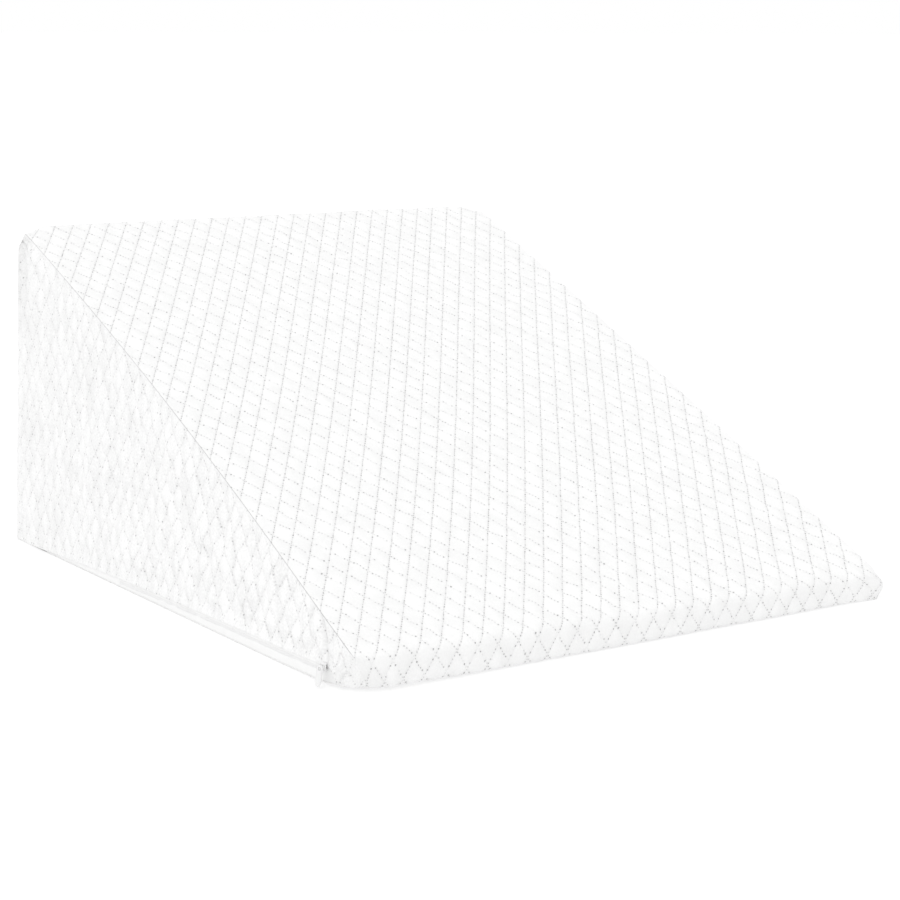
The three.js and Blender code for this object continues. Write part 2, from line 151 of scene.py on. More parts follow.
# Wedge: a block of foam cut with a tall back, one long slope and a low nose, and over it the wrap panel of
# the cover, a padded white knit that goes over slope, nose, base and back in one piece. It is drawn taut.
# All sizes from here on are in millimetres, counted from the foot of the nose.
WIDTH = 550.0
DEPTH = 635.0
RIDGE_HEIGHT = 311.0
BACK_LEAN = 5.0
NOSE_HEIGHT = 28.0
NOSE_TWIST = 6.0
SLOPE_CROWN = 5.0
SIDE_LEAN = 9.0
SIDE_BOW = 5.4
RIDGE_ROUND = 14.0
CREASE_ROUND = 6.0
NOSE_ROUND = 4.5
HEEL_ROUND = 5.0
LEFT_CORNER_LOW = 46.0
RIGHT_CORNER_LOW = 4.0
FRONT_CORNER_TOP = 9.0
BACK_CORNER = 8.0
SIDE_EDGE = 2.0
NOSE_EAR = 9.5
EAR_REACH = 24.0
TOE_LIFT = 2.5
TOE_REACH = 180.0
TOE_HEIGHT = 60.0
SIDE_X = WIDTH / 2
KNIT_ACROSS = 19.7
KNIT_ALONG = 29.75
WRAP_PHASE = 0.66
RIDGE_PHASE = -0.79
WRAP_RELIEF = 0.9
SEAM_RADIUS = 0.52
SEAM_REACH = SEAM_RADIUS * (1 + math.sqrt(2))
SEAM_TURN = 0.75 * math.pi * SEAM_RADIUS
CORNER_WRAP = 7.0
CORNER_PULL = np.array([4.0, 5.0, 9.0])
CORNER_REACH = 17.0
ROLL_STEPS = 8
HIDDEN = 3.0
END_DEPTH = 80.0


def ramp(value, start, end):
    """0 at start and 1 at end, straight between and level beyond. Start may be the greater of the two."""
    return np.clip((value - start) / (end - start), 0, 1)


def rounding(start, corner, end, steps=48):
    """Points of a quadratic curve from start to end, pulled towards corner."""
    t = np.linspace(0.0, 1.0, steps, endpoint=False)[:, None]
    return (1 - t) ** 2 * start + 2 * t * (1 - t) * corner + t**2 * end


def toward(origin, target, length):
    """The point that lies length from origin on the way to target."""
    return origin + (target - origin) * (length / np.hypot(*(target - origin)))


def section_outline():
    """The wedge's section in Y and Z as a closed line, and where its stretches start.

    It runs from the back just under the ridge over the ridge, down the crowned slope, round the nose, along
    the base and up the back. Returns the line's points, their lengths along it and the stretches' lengths.
    """
    ridge = np.array([DEPTH - BACK_LEAN, RIDGE_HEIGHT])
    crease = np.array([0.0, NOSE_HEIGHT])
    toe = np.array([0.0, 0.0])
    heel = np.array([DEPTH, 0.0])
    under_ridge = toward(ridge, heel, RIDGE_ROUND)
    slope_top = toward(ridge, crease, RIDGE_ROUND)
    slope_foot = toward(crease, ridge, CREASE_ROUND)
    nose_top = toward(crease, toe, CREASE_ROUND)
    nose_low = toward(toe, crease, NOSE_ROUND)
    base_front = toward(toe, heel, NOSE_ROUND)
    base_back = toward(heel, toe, HEEL_ROUND)
    back_low = toward(heel, ridge, HEEL_ROUND)
    chord = (slope_foot - slope_top) / np.hypot(*(slope_foot - slope_top))
    crown = (slope_top + slope_foot) / 2 + np.array([chord[1], -chord[0]]) * 2 * SLOPE_CROWN
    stretches = [
        rounding(under_ridge, ridge, slope_top),
        rounding(slope_top, crown, slope_foot, 400),
        rounding(slope_foot, crease, nose_top),
        rounding(nose_top, (nose_top + nose_low) / 2, nose_low),
        rounding(nose_low, toe, base_front),
        rounding(base_front, (base_front + base_back) / 2, base_back, 400),
        rounding(base_back, heel, back_low),
        rounding(back_low, (back_low + under_ridge) / 2, under_ridge, 200),
    ]
    line = np.vstack([*stretches, under_ridge])
    lengths = np.r_[0.0, np.cumsum(np.hypot(*np.diff(line, axis=0).T))]
    starts = lengths[np.cumsum([0] + [len(stretch) for stretch in stretches])]
    return line, lengths, starts


SECTION, SECTION_LENGTHS, STRETCHES = section_outline()
AROUND = SECTION_LENGTHS[-1]
RIDGE_AT = STRETCHES[1] / 2
CREASE_AT = (STRETCHES[2] + STRETCHES[3]) / 2
TOE_AT = (STRETCHES[4] + STRETCHES[5]) / 2
HEEL_AT = (STRETCHES[6] + STRETCHES[7]) / 2


def section_point(s):
    """Y and Z of the section at length s, which may run past either end."""
    s = np.mod(s, AROUND)
    return np.interp(s, SECTION_LENGTHS, SECTION[:, 0]), np.interp(s, SECTION_LENGTHS, SECTION[:, 1])


def section_inwards(s, reach=0.7):
    """Unit vector in Y and Z that points into the section at length s."""
    (y0, z0), (y1, z1) = section_point(s - reach), section_point(s + reach)
    length = np.hypot(y1 - y0, z1 - z0)
    return -(z1 - z0) / length, (y1 - y0) / length


def round_corner(a, b, radius):
    """Takes a square's corner to a quarter circle; a and b run up to radius towards the corner."""
    inside = (a > 0) & (b > 0)
    a_round = a * np.sqrt(np.clip(1 - b * b / (2 * radius * radius), 0, 1))
    b_round = b * np.sqrt(np.clip(1 - a * a / (2 * radius * radius), 0, 1))
    return np.where(inside, a_round, a), np.where(inside, b_round, b)


def soften(x, y, z):
    """Takes points of the sharp wedge to the soft one.

    The sides lean in with height and draw in half way along the slope, the upright corners and the edge
    between side and base are rounded, the nose is a little lower at its right end and stands out there like
    an ear, the toe lifts off the floor at its left end, and the two corners of the ridge are pulled in.
    """
    slope = NOSE_HEIGHT + (RIDGE_HEIGHT - NOSE_HEIGHT) * y / (DEPTH - BACK_LEAN)
    rise = ramp(z, 0, slope)
    along = ramp(y, 0, DEPTH)
    up_nose = ramp(z, 0, NOSE_HEIGHT)
    ear = NOSE_EAR * np.exp(-((y / EAR_REACH) ** 2)) * np.abs(np.sin(math.pi * up_nose)) ** 1.3 * (x > 0)
    drawn = SIDE_X - SIDE_LEAN * z / RIDGE_HEIGHT - SIDE_BOW * np.sin(math.pi * along) * rise
    half = drawn + ear
    across = np.abs(x) * drawn / SIDE_X + ear * (np.abs(x) / SIDE_X) ** 8
    low_corner = np.where(x < 0, LEFT_CORNER_LOW, RIGHT_CORNER_LOW)
    front = low_corner + (FRONT_CORNER_TOP - low_corner) * up_nose
    a, b = round_corner(across - half + front, front - y, front)
    across, depth = a + half - front, front - b
    back = DEPTH - BACK_LEAN * z / RIDGE_HEIGHT
    a, b = round_corner(across - half + BACK_CORNER, depth - back + BACK_CORNER, BACK_CORNER)
    across, depth = a + half - BACK_CORNER, b + back - BACK_CORNER
    a, b = round_corner(across - half + SIDE_EDGE, SIDE_EDGE - z, SIDE_EDGE)
    across, up = a + half - SIDE_EDGE, SIDE_EDGE - b
    near_toe = ramp(np.hypot(x + SIDE_X, 1.6 * y), TOE_REACH, 0)
    up = up + TOE_LIFT * near_toe**1.3 * ramp(z, TOE_HEIGHT, 0)
    up = up - NOSE_TWIST * (x / WIDTH) * (1 - along) * rise
    from_corner = np.sqrt((SIDE_X - np.abs(x)) ** 2 + (DEPTH - BACK_LEAN - y) ** 2 + (RIDGE_HEIGHT - z) ** 2)
    pull = np.exp(-((from_corner / CORNER_REACH) ** 2))
    across = across - CORNER_PULL[0] * pull
    depth = depth - CORNER_PULL[1] * pull
    up = up - CORNER_PULL[2] * pull
    return np.stack([np.sign(x) * across, depth, up], -1)


def puff(a, b):
    """Height of the knit's diamonds, 0 in the channels where a + b or a - b is whole and 1 at the middles."""
    p, m = a + b, a - b
    from_channel = 2 * np.minimum(np.abs(p - np.round(p)), np.abs(m - np.round(m)))
    return 1 - (1 - from_channel) ** 2


def seam_roll(turned):
    """How a sewn edge turns in: inset and drop for a length turned from the seam, on a small quarter roll."""
    angle = np.clip(0.75 * math.pi - turned / SEAM_RADIUS, 0, 0.75 * math.pi)
    beyond = np.maximum(turned - SEAM_TURN, 0)
    inset = SEAM_REACH - SEAM_RADIUS * np.sin(angle) + beyond
    drop = SEAM_RADIUS * (1 - np.cos(angle))
    return inset, drop


def corner_wrap(s):
    """How far the side panel reaches round the nose's upright corner at length s of the section."""
    down_nose = ramp(s, CREASE_AT, STRETCHES[4])
    under = ramp(s, STRETCHES[4], STRETCHES[5])
    return CORNER_WRAP * down_nose * (1 - under)


def seam_on_nose(s):
    """1 where the seam runs down the nose, with both cloths flat, and 0 elsewhere."""
    return ramp(s, CREASE_AT - 6, CREASE_AT + 6) * ramp(s, STRETCHES[5] + 6, STRETCHES[5])


def seam_size(s):
    """Size of the seam's roll: 0.75 at the ridge, 1 at the slope's foot, and hardly any down the nose."""
    from_ridge = np.abs(np.mod(s - RIDGE_AT + AROUND / 2, AROUND) - AROUND / 2)
    size = 0.75 + 0.25 * ramp(from_ridge, 0, CREASE_AT - RIDGE_AT)
    return size * (1 - 0.85 * seam_on_nose(s))


def seam_closing(s):
    """How far each cloth's edge closes up on the nose, where both lie flat, so that their rolls meet."""
    return (SEAM_REACH - SEAM_RADIUS * math.sqrt(0.5)) * seam_size(s) * ramp(corner_wrap(s), 0, 2)


def unwrap(y, z, drop):
    """A point of the left side's sheet, moved in by drop. Where y is below 0, it is on the nose."""
    x = np.where(y < 0, -SIDE_X + np.maximum(-y, drop), -SIDE_X + drop)
    depth = np.where(y < 0, drop, np.maximum(y, drop))
    return x, depth, z


def seam_place(s):
    """X, Y and Z on the sharp wedge of the left seam at length s of the section."""
    y, z = section_point(s)
    return unwrap(y - corner_wrap(s) + seam_closing(s), z, 0.0)


def grid_quads(rows, columns, closed=False):
    """Corner numbers of a grid's quads, row by row, and with closed those from the last row to the first."""
    ids = np.arange(rows * columns).reshape(rows, columns)
    ahead = np.roll(ids, -1, axis=0)
    quads = np.stack([ids[:, :-1], ahead[:, :-1], ahead[:, 1:], ids[:, 1:]], -1)
    return quads if closed else quads[:-1]


def cloth_piece(name, points, faces, knit, fold, material):
    """Makes a piece from points in millimetres, faces as arrays of corners, knit places and painted shade.

    knit holds one pair for each corner of each face, and fold one value of painted shade for each point, 1
    deep in a seam.
    """
    corners = np.concatenate([face.ravel() for face in faces])
    sizes = np.concatenate([np.full(len(face), face.shape[-1]) for face in faces])
    mesh = bpy.data.meshes.new(name)
    mesh.vertices.add(len(points))
    mesh.vertices.foreach_set("co", (points * MM + NOSE_FOOT).ravel())
    mesh.loops.add(len(corners))
    mesh.loops.foreach_set("vertex_index", corners)
    mesh.polygons.add(len(sizes))
    mesh.polygons.foreach_set("loop_start", np.cumsum(sizes) - sizes)
    mesh.polygons.foreach_set("use_smooth", np.ones(len(sizes), bool))
    mesh.update(calc_edges=True)
    mesh.uv_layers.new(name="knit").uv.foreach_set("vector", np.concatenate([k.ravel() for k in knit]))
    # The attribute fold carries painted shade for the seams and folds.
    mesh.attributes.new("fold", "FLOAT", "POINT").data.foreach_set("value", fold)
    mesh.materials.append(material)
    piece = bpy.data.objects.new(name, mesh)
    bpy.context.scene.collection.objects.link(piece)
    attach(piece, "root")
    return piece


# Knit of the cover: white and matt, with soft diamonds between rows of pin-holes. Two holes on each side of
# a diamond are open and dark, the others nearly closed. One family of rows also shows as a fine dark line.
# The dark of the holes and of the line is painted shade, and so is the grey laid into the seams and folds.
KNIT_WHITE = (0.905, 0.905, 0.904)
# The grey that the knit's tone runs to: painted shade in the lines, the channels and the dips between loops,
# painted light and shade in the streaks, and random tone.
LINE_GREY = (0.48, 0.48, 0.48)
# Painted shade in the pin-holes.
HOLE_SHADE_GREY = (0.32, 0.32, 0.32)
# Painted shade in the seams' rolls and in the folds.
FOLD_SHADE_GREY = (0.42, 0.42, 0.42)
LOOP = 1.3


class Wire:
    """A value in a material's node tree. Arithmetic on it adds Math nodes, and node() adds any other node."""

    def __init__(self, tree, socket=None):
        self.tree = tree
        self.socket = socket

    def node(self, kind, settings=None, inputs=None, output=0):
        """Adds a node: its settings first, then a value or a link for each named socket."""
        made = self.tree.nodes.new(kind)
        for name, value in (settings or {}).items():
            setattr(made, name, value)
        for key, value in (inputs or {}).items():
            if isinstance(value, Wire):
                self.tree.links.new(value.socket, made.inputs[key])
            else:
                made.inputs[key].default_value = value
        return Wire(self.tree, made.outputs[output])

    def math(self, operation, *values):
        return self.node("ShaderNodeMath", {"operation": operation}, dict(enumerate(values)))

    def __add__(self, other):
        return self.math("ADD", self, other)

    __radd__ = __add__

    def __sub__(self, other):
        return self.math("SUBTRACT", self, other)

    def __rsub__(self, other):
        return self.math("SUBTRACT", other, self)

    def __mul__(self, other):
        return self.math("MULTIPLY", self, other)

    __rmul__ = __mul__

    def __truediv__(self, other):
        return self.math("DIVIDE", self, other)

    def __abs__(self):
        return self.math("ABSOLUTE", self)

    def __pow__(self, other):
        return self.math("POWER", self, other)

    def off_whole(self):
        """How far the value is from the nearest whole number, with its sign."""
        return self - self.math("ROUND", self)

    def wave(self):
        """A sine wave of period 1, from 0 to 1."""
        return self.math("SINE", self * (2 * math.pi)) * 0.5 + 0.5

    def most(self, other):
        return self.math("MAXIMUM", self, other)

    def least(self, other):
        return self.math("MINIMUM", self, other)

    def noise(self, scale, detail):
        """Smooth noise, about 0 to 1, at the place that the value holds."""
        return self.node("ShaderNodeTexNoise", None, {"Vector": self, "Scale": scale, "Detail": detail}, 0)

    def step(self, low, high):
        """A smooth step: 0 below low and 1 above high."""
        settings = {"interpolation_type": "SMOOTHSTEP"}
        return self.node("ShaderNodeMapRange", settings, {"Value": self, "From Min": low, "From Max": high})

    def tint(self, low, high):
        """The colour low where the value is 0 and high where it is 1."""
        colours = {"Factor": self, 6: (*low, 1.0), 7: (*high, 1.0)}
        return self.node("ShaderNodeMix", {"data_type": "RGBA"}, colours, output=2)


def connect(shader, socket, wire):
    wire.tree.links.new(wire.socket, shader.inputs[socket])


def knit_material(name, across, along, line, dash, hole_dark, small, speckle, streak, nose_at=99.0):
    """Padded diamond knit on the UV map knit, which counts diamonds of across by along millimetres.

    With p = a + b and m = a - b a row of pin-holes runs wherever p or m is whole, six holes from one
    crossing to the next. line and dash are how dark the two families are between the holes, painted shade of
    their grooves, and hole_dark and small how dark the open and the nearly closed holes are, painted shade in
    the holes. speckle is the strength of the fine light and dark specks, and streak that of the upright
    streaks, painted light and shade of the diamonds' columns, on which the open holes come and go too. From
    b = nose_at on, both families are as faint as dash. The channels between the diamonds and the dips between
    the loops are darkened by painted shade, and the attribute fold mixes painted shade into seams and folds.
    Distances to rows and holes are in millimetres, and the second family sways a little from its straight
    line.
    """
    material, shader = new_material(name)
    wire = Wire(material.node_tree)
    knit = wire.node("ShaderNodeUVMap", {"uv_map": "knit"})
    a = wire.node("ShaderNodeSeparateXYZ", None, {0: knit}, 0)
    b = wire.node("ShaderNodeSeparateXYZ", None, {0: knit}, 1)
    sway = knit.noise(5.0, 1.0)
    fold = wire.node("ShaderNodeAttribute", {"attribute_name": "fold"}, output=2)
    spacing = 1 / math.hypot(1 / across, 1 / along)
    p, m = a + b, a - b + (sway - 0.5) * 0.16
    off_p, off_m = p.off_whole(), m.off_whole()

    def hole(dp, dm, radius):
        """1 at a hole and 0 from radius on, for offsets dp and dm from its middle."""
        far = (((dp + dm) * (across / 2)) ** 2 + ((dp - dm) * (along / 2)) ** 2) ** 0.5
        return 1 - far.step(0.35 * radius, radius)

    def part(value, count):
        """Offset of value from the nearest of count places between two whole numbers, half a place in."""
        return (value * count + 0.5).off_whole() / count

    strength = knit.noise(4.5, 2.0).step(0.38, 0.64)
    open_p, open_m = hole(off_p, part(m, 2), 0.95), hole(part(p, 2), off_m, 0.95)
    open_holes = open_p.most(open_m)
    tight_p, tight_m = hole(off_p, part(m, 6), 0.75), hole(part(p, 6), off_m, 0.75)
    tight_holes = tight_p.most(tight_m) * (strength * small)
    specks = knit.noise(13.0, 2.0).step(0.33, 0.67) - 0.5
    # Upright streaks: painted light and shade of the diamonds' columns. They also make the open holes come
    # and go.
    tall = wire.node("ShaderNodeCombineXYZ", None, {0: a * 2.1, 1: b * 0.4})
    streaks = tall.noise(1.0, 2.0).step(0.3, 0.7) - 0.5
    kept = 0.55 + strength * 0.45 + (specks + streaks) * (4.5 * streak)
    open_holes = open_holes * (kept.least(1.0) * hole_dark)
    holes = open_holes.most(tight_holes)
    row_p = 1 - (abs(off_p) * spacing).step(0.05, 0.55)
    row_m = 1 - (abs(off_m) * spacing).step(0.05, 0.55)
    on_nose = b.step(nose_at - 0.1, nose_at + 0.15)
    lines = (row_p * (line - on_nose * (line - dash))).most(row_m * dash * strength)
    valley = 1 - (abs(off_p).least(abs(off_m)) * spacing).step(0.0, 3.0)
    loops = (a * (across / LOOP)).wave() * (b * (along / LOOP) + (a * (across / LOOP)).wave() * 0.4).wave()
    grain = knit.noise(9.0, 3.0)
    clouds = knit.noise(1.1, 1.0).step(0.35, 0.65)
    # Painted shade: the rows' lines, the channels between the diamonds and the dips between the loops darken
    # the colour. Grain, clouds and specks are random tone.
    shade = lines + valley * 0.02 + (1 - loops) * 0.03 + grain * 0.05 + clouds * 0.07
    shade = shade + specks * speckle + streaks * streak
    colour = shade.tint(KNIT_WHITE, LINE_GREY)
    # Painted shade: dark grey in the holes, and the fold grey where the attribute fold marks a seam's roll or
    # a fold.
    for mask, grey in ((holes, HOLE_SHADE_GREY), (fold, FOLD_SHADE_GREY)):
        mixed = {"Factor": mask, 6: colour, 7: (*grey, 1.0)}
        colour = wire.node("ShaderNodeMix", {"data_type": "RGBA"}, mixed, 2)
    connect(shader, "Base Color", colour)
    height = loops * 0.10 + grain * 0.15 - lines * 0.4 - valley * 0.3 - holes * 0.5
    bump = wire.node("ShaderNodeBump", None, {"Strength": 1.0, "Distance": MM, "Height": height})
    connect(shader, "Normal", bump)
    shader.inputs["Roughness"].default_value = 0.92
    shader.inputs["Specular IOR Level"].default_value = 0.25
    shader.inputs["Sheen Weight"].default_value = 0.15
    shader.inputs["Sheen Roughness"].default_value = 0.6
    return material


wrap_knit = knit_material(
    "wrap knit", KNIT_ACROSS, KNIT_ALONG, line=0.25, dash=0.10, hole_dark=0.8, small=0.62,
    speckle=0.05, streak=0.02, nose_at=(CREASE_AT - RIDGE_AT) / KNIT_ALONG + RIDGE_PHASE,
)


def soft_waves(u, v, seed, count=9, longest=170.0, shortest=45.0):
    """Gentle unevenness of padded cloth: a sum of long sine waves of random direction, about -1 to 1."""
    random = np.random.default_rng(seed)
    total = np.zeros(np.broadcast(u, v).shape)
    for _ in range(count):
        turn = random.uniform(0, 2 * math.pi)
        wave = random.uniform(shortest, longest)
        ahead = u * math.cos(turn) + v * math.sin(turn)
        total = total + np.sin(ahead * (2 * math.pi / wave) + random.uniform(0, 7))
    return total / math.sqrt(count) / 1.5


CLOTH_CELL = 9.0
CLOTH_PRESSURE = 4.0
CLOTH_FRAMES = 20
CLOTH_UNEVEN = 0.4
WRAP_SWELL_MOST = 1.2
WRAP_UNEVEN = 0.4
WRAP_CALM = 12.0
PUCKER_STEP = 9.7
PUCKER_HEIGHT = 0.7
CLOSING_REACH = 60.0


def pressed_cloth(inside, hold, slack, seed):
    """How far a flat sheet swells when the foam presses it outwards, in millimetres, on a grid of CLOTH_CELL.

    inside says which points of the grid are cloth. The sheet is simulated without gravity, with its border
    pinned, its middle held softly by hold, and slack as the part that it is cut too large.
    """
    swell = np.zeros(inside.shape)
    row, column = np.nonzero(inside)
    number = np.full(inside.size, -1)
    number[np.flatnonzero(inside)] = np.arange(len(row))
    quads = number[grid_quads(*inside.shape).reshape(-1, 4)]
    quads = quads[(quads >= 0).all(axis=1)][:, ::-1]
    lift = np.random.default_rng(seed).uniform(0, CLOTH_UNEVEN, len(row))
    start = np.stack([column * CLOTH_CELL, row * CLOTH_CELL, lift], -1)
    mesh = bpy.data.meshes.new("pressed cloth")
    mesh.from_pydata((start * MM).tolist(), [], quads.tolist())
    cloth = bpy.data.objects.new("pressed cloth", mesh)
    bpy.context.scene.collection.objects.link(cloth)
    border = np.bincount(quads.ravel(), minlength=len(row)) < 4
    held = cloth.vertex_groups.new(name="held")
    held.add(np.flatnonzero(border).tolist(), 1.0, "REPLACE")
    held.add(np.flatnonzero(~border).tolist(), hold, "REPLACE")
    push = cloth.modifiers.new("push", "CLOTH")
    push.settings.quality = 6
    push.settings.vertex_group_mass = "held"
    push.settings.bending_stiffness = 0.5
    push.settings.use_pressure = True
    push.settings.uniform_pressure_force = CLOTH_PRESSURE
    push.settings.shrink_min = -slack
    push.settings.effector_weights.gravity = 0.0
    push.collision_settings.use_collision = False
    for moment in range(1, CLOTH_FRAMES + 1):
        bpy.context.scene.frame_set(moment)
    shape = cloth.evaluated_get(bpy.context.evaluated_depsgraph_get()).to_mesh()
    end = np.empty(3 * len(row))
    shape.vertices.foreach_get("co", end)
    bpy.data.objects.remove(cloth)
    bpy.context.scene.frame_set(1)
    swell[row, column] = np.where(border, 0.0, end[2::3] / MM - lift)
    return swell


def cloth_at(swell, u, v):
    """The swelling at u across and v up the sheet, a smooth blend of that at the nine nearest points."""
    u, v = np.broadcast_arrays(u / CLOTH_CELL, v / CLOTH_CELL)
    column, row = np.rint(u).astype(int), np.rint(v).astype(int)
    total = np.zeros(u.shape)
    for i in (-1, 0, 1):
        for j in (-1, 0, 1):
            across, up = u - column, v - row
            part_u = 0.75 - across**2 if i == 0 else 0.5 * (0.5 + i * across) ** 2
            part_v = 0.75 - up**2 if j == 0 else 0.5 * (0.5 + j * up) ** 2
            at = swell[np.clip(row + j, 0, swell.shape[0] - 1), np.clip(column + i, 0, swell.shape[1] - 1)]
            total = total + part_u * part_v * at
    return total


slope_cells = (int((CREASE_AT - RIDGE_AT) / CLOTH_CELL) + 1, int(WIDTH / CLOTH_CELL) + 1)
WRAP_SWELL = pressed_cloth(np.ones(slope_cells, bool), hold=0.3, slack=0.02, seed=41)


def wrap_rows():
    """Lengths along the section of the wrap's rows, from the ridge on.

    A diamond has twelve rows over the slope and the nose and eight up the back. The flat base has few.
    """
    fine = KNIT_ALONG / 12
    first = RIDGE_AT - (math.ceil(14 / fine)) * fine
    slope_and_nose = np.arange(first, STRETCHES[5] + 1, fine)
    base = np.linspace(STRETCHES[5] + 12, STRETCHES[6] - 8, 26)
    heel = np.linspace(STRETCHES[6] - 2, STRETCHES[7], 6)
    back_end = first + AROUND
    back_step = KNIT_ALONG / 8
    count = int((back_end - STRETCHES[7]) / back_step)
    back = back_end - back_step * np.arange(count, 0, -1)
    back = back[back > STRETCHES[7] + 1]
    return np.r_[slope_and_nose, base, heel, back]


def wrap_columns():
    """Inset from the left seam, drop and painted shade of the wrap's columns: the left roll, the knit, the
    right roll.

    A diamond has eight columns. The first and the last column are flanges, hidden under the side panels.
    """
    rolls = SEAM_TURN * np.linspace(0, 1, ROLL_STEPS)
    inset, drop = seam_roll(rolls)
    inset, drop = np.r_[inset[0] + HIDDEN, inset], np.r_[drop[0] + HIDDEN, drop]
    eighth = KNIT_ACROSS / 8
    first = (math.ceil(WRAP_PHASE * 8) / 8 - WRAP_PHASE) * KNIT_ACROSS
    knit = np.arange(first, WIDTH, eighth)
    knit = knit[(knit > inset.max() + 0.8) & (knit < WIDTH - inset.max() - 0.8)]
    # Painted shade, full on the flange and fading out along the roll.
    fold = np.r_[1.0, (1 - rolls / SEAM_TURN) ** 2]
    return (
        np.r_[inset, knit, WIDTH - inset[::-1]],
        np.r_[drop, np.zeros(len(knit)), drop[::-1]],
        np.r_[fold, np.zeros(len(knit)), fold[::-1]],
    )


def wrap_points(rows, inset, drop):
    """The wrap's points, and the knit's a and b at each.

    The point in column x and row s is the section's point at s, moved in by the depth of the knit's channels
    and by the roll of the seams. Near the nose's upright corners it closes up to the seam that leans there.
    """
    size = seam_size(rows)[:, None]
    rolled = drop > 0
    inset = np.where(rolled, np.where(inset < SIDE_X, inset * size, WIDTH - (WIDTH - inset) * size), inset)
    drop = drop * size
    inset[:, 0], inset[:, -1] = inset[:, 1] + HIDDEN, inset[:, -2] - HIDDEN
    drop[:, 0], drop[:, -1] = drop[:, 1] + HIDDEN, drop[:, -2] + HIDDEN
    s, x = rows[:, None], inset - SIDE_X
    y, z = section_point(s)
    in_y, in_z = section_inwards(s)
    seam_x, seam_y, _ = seam_place(s)
    near = ramp(SIDE_X - np.abs(x), CLOSING_REACH, 0) ** 2
    x = x - np.sign(x) * (seam_x + SIDE_X) * near
    y = y + (seam_y - y) * near
    flange = np.zeros(inset.shape[1], bool)
    flange[[0, -1]] = True
    below = flange & (s > CREASE_AT) & (s < HEEL_AT)
    y = np.where(below, np.maximum(y, HIDDEN + 1), y)
    z = np.where(below, np.maximum(z, HIDDEN), z)
    a = (x + SIDE_X) / KNIT_ACROSS + WRAP_PHASE
    from_ridge = np.where(s > HEEL_AT, s - AROUND, s) - RIDGE_AT
    b = from_ridge / KNIT_ALONG + RIDGE_PHASE + 0 * a
    from_front, from_back = s - STRETCHES[5], STRETCHES[6] - s
    on_base = np.minimum(ramp(from_front, -4, 4), ramp(from_back, -4, 4))
    from_seam = np.minimum(SIDE_X - np.abs(x), np.minimum(inset, WIDTH - inset))
    calm = ramp(from_seam, 0, WRAP_CALM)
    swell = cloth_at(WRAP_SWELL, x + SIDE_X, s - RIDGE_AT)
    swell = np.clip(swell, -WRAP_SWELL_MOST, WRAP_SWELL_MOST)
    puckers = np.sin(s * (2 * math.pi / PUCKER_STEP) + 1.7 * np.sin(s / 23.0)) * np.exp(-from_seam / 8.0)
    depth = (WRAP_RELIEF * (1 - puff(a, b)) - WRAP_UNEVEN * soft_waves(x, s, 4) - swell) * calm
    depth = depth + PUCKER_HEIGHT * puckers * ramp(from_seam, SEAM_REACH, SEAM_REACH + 3)
    depth = depth * (1 - on_base) + drop
    depth = np.where(on_base > 0, np.maximum(depth, 0), depth)
    return soften(x + 0 * s, y + in_y * depth, z + in_z * depth).reshape(-1, 3), a, b


def wedge_cover():
    """The wrap panel round the foam, a grid of rows and columns, closed by a fan under each side panel."""
    rows = wrap_rows()
    inset, drop, fold = wrap_columns()
    points, a, b = wrap_points(rows, inset, drop)
    ahead = b + np.diff(np.r_[rows, rows[0] + AROUND])[:, None] / KNIT_ALONG
    left, right = slice(None, -1), slice(1, None)
    corners = ((a[:, left], b[:, left]), (a[:, left], ahead[:, left]),
               (a[:, right], ahead[:, right]), (a[:, right], b[:, right]))
    faces = [grid_quads(*a.shape, closed=True).reshape(-1, 4)]
    maps = [np.stack([value for corner in corners for value in corner], -1)]
    columns = a.shape[1]
    for column, deeper in ((0, END_DEPTH), (columns - 1, -END_DEPTH)):
        loop = np.arange(len(rows)) * columns + column
        middle = np.full(len(loop), len(points))
        points = np.vstack([points, points[loop].mean(axis=0) + np.array([deeper, 0.0, 0.0])])
        fan = np.stack([loop, middle, np.roll(loop, -1)], -1)
        faces.append(fan if deeper > 0 else fan[:, [0, 2, 1]])
        maps.append(np.zeros((3 * len(loop), 2)))
    # Painted shade of the seams' rolls, none down the nose, and full at the fans' middles.
    folds = np.r_[(fold * (1 - seam_on_nose(rows)[:, None])).ravel(), 1.0, 1.0]
    cover = cloth_piece("wedge_cover", points, faces, maps, folds, wrap_knit)
    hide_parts("wedge_cushion")


wedge_cover()

# Side panels: two long triangles of the same knit, sewn to the wrap by one fine seam all round. They are
# looser than the wrap, so their diamonds stand out more. The left one ends above the zip.
PANEL_KNIT_UP = 28.4
PANEL_RELIEF = 1.6
PANEL_ALONG = 300
PANEL_UP = 136
PANEL_SWELL_MOST = (-1.5, 3.5)
FOLD_SOFT = 1.2
PANEL_CALM = 9.0
PANEL_PUCKER = 0.45
TAUT_BACK = 0.65
HEM_FLAT = 0.55
WAVE_DEPTH = 1.2
SHORT_WAVE_DEPTH = 0.5
PLEAT_DEPTH = 2.8
PLEAT_COUNT = 15
BACK_FOLD_Y = 608.0
BACK_FOLD_Z = (190.0, 250.0)
BACK_FOLD_DEPTH = 2.0
BACK_FOLD_SWELL = 4.0
GATHERED_SHADE = 0.10
CREASE_FOOT = (38.2, 13.0)
CREASE_DEPTH = 3.4
CREASE_SWELL = 2.3
CREASE_SHADE = 0.25
LOW_PUFFS = 1.2
ZIP_BAND = 12.8
ZIP_BACK = 600.0
BAND_FALL = 2.2
BAND_OPENS = (16.0, 38.0)

panel_knit = knit_material(
    "side panel knit", KNIT_ACROSS, PANEL_KNIT_UP, line=0.04, dash=0.04, hole_dark=0.6, small=0.35,
    speckle=0.17, streak=0.14,
)


def band_height(y):
    """Height of the plain band under the left panel, highest at the front and falling to the floor."""
    return ZIP_BAND * (1 - ramp(y, 0, ZIP_BACK) ** BAND_FALL)


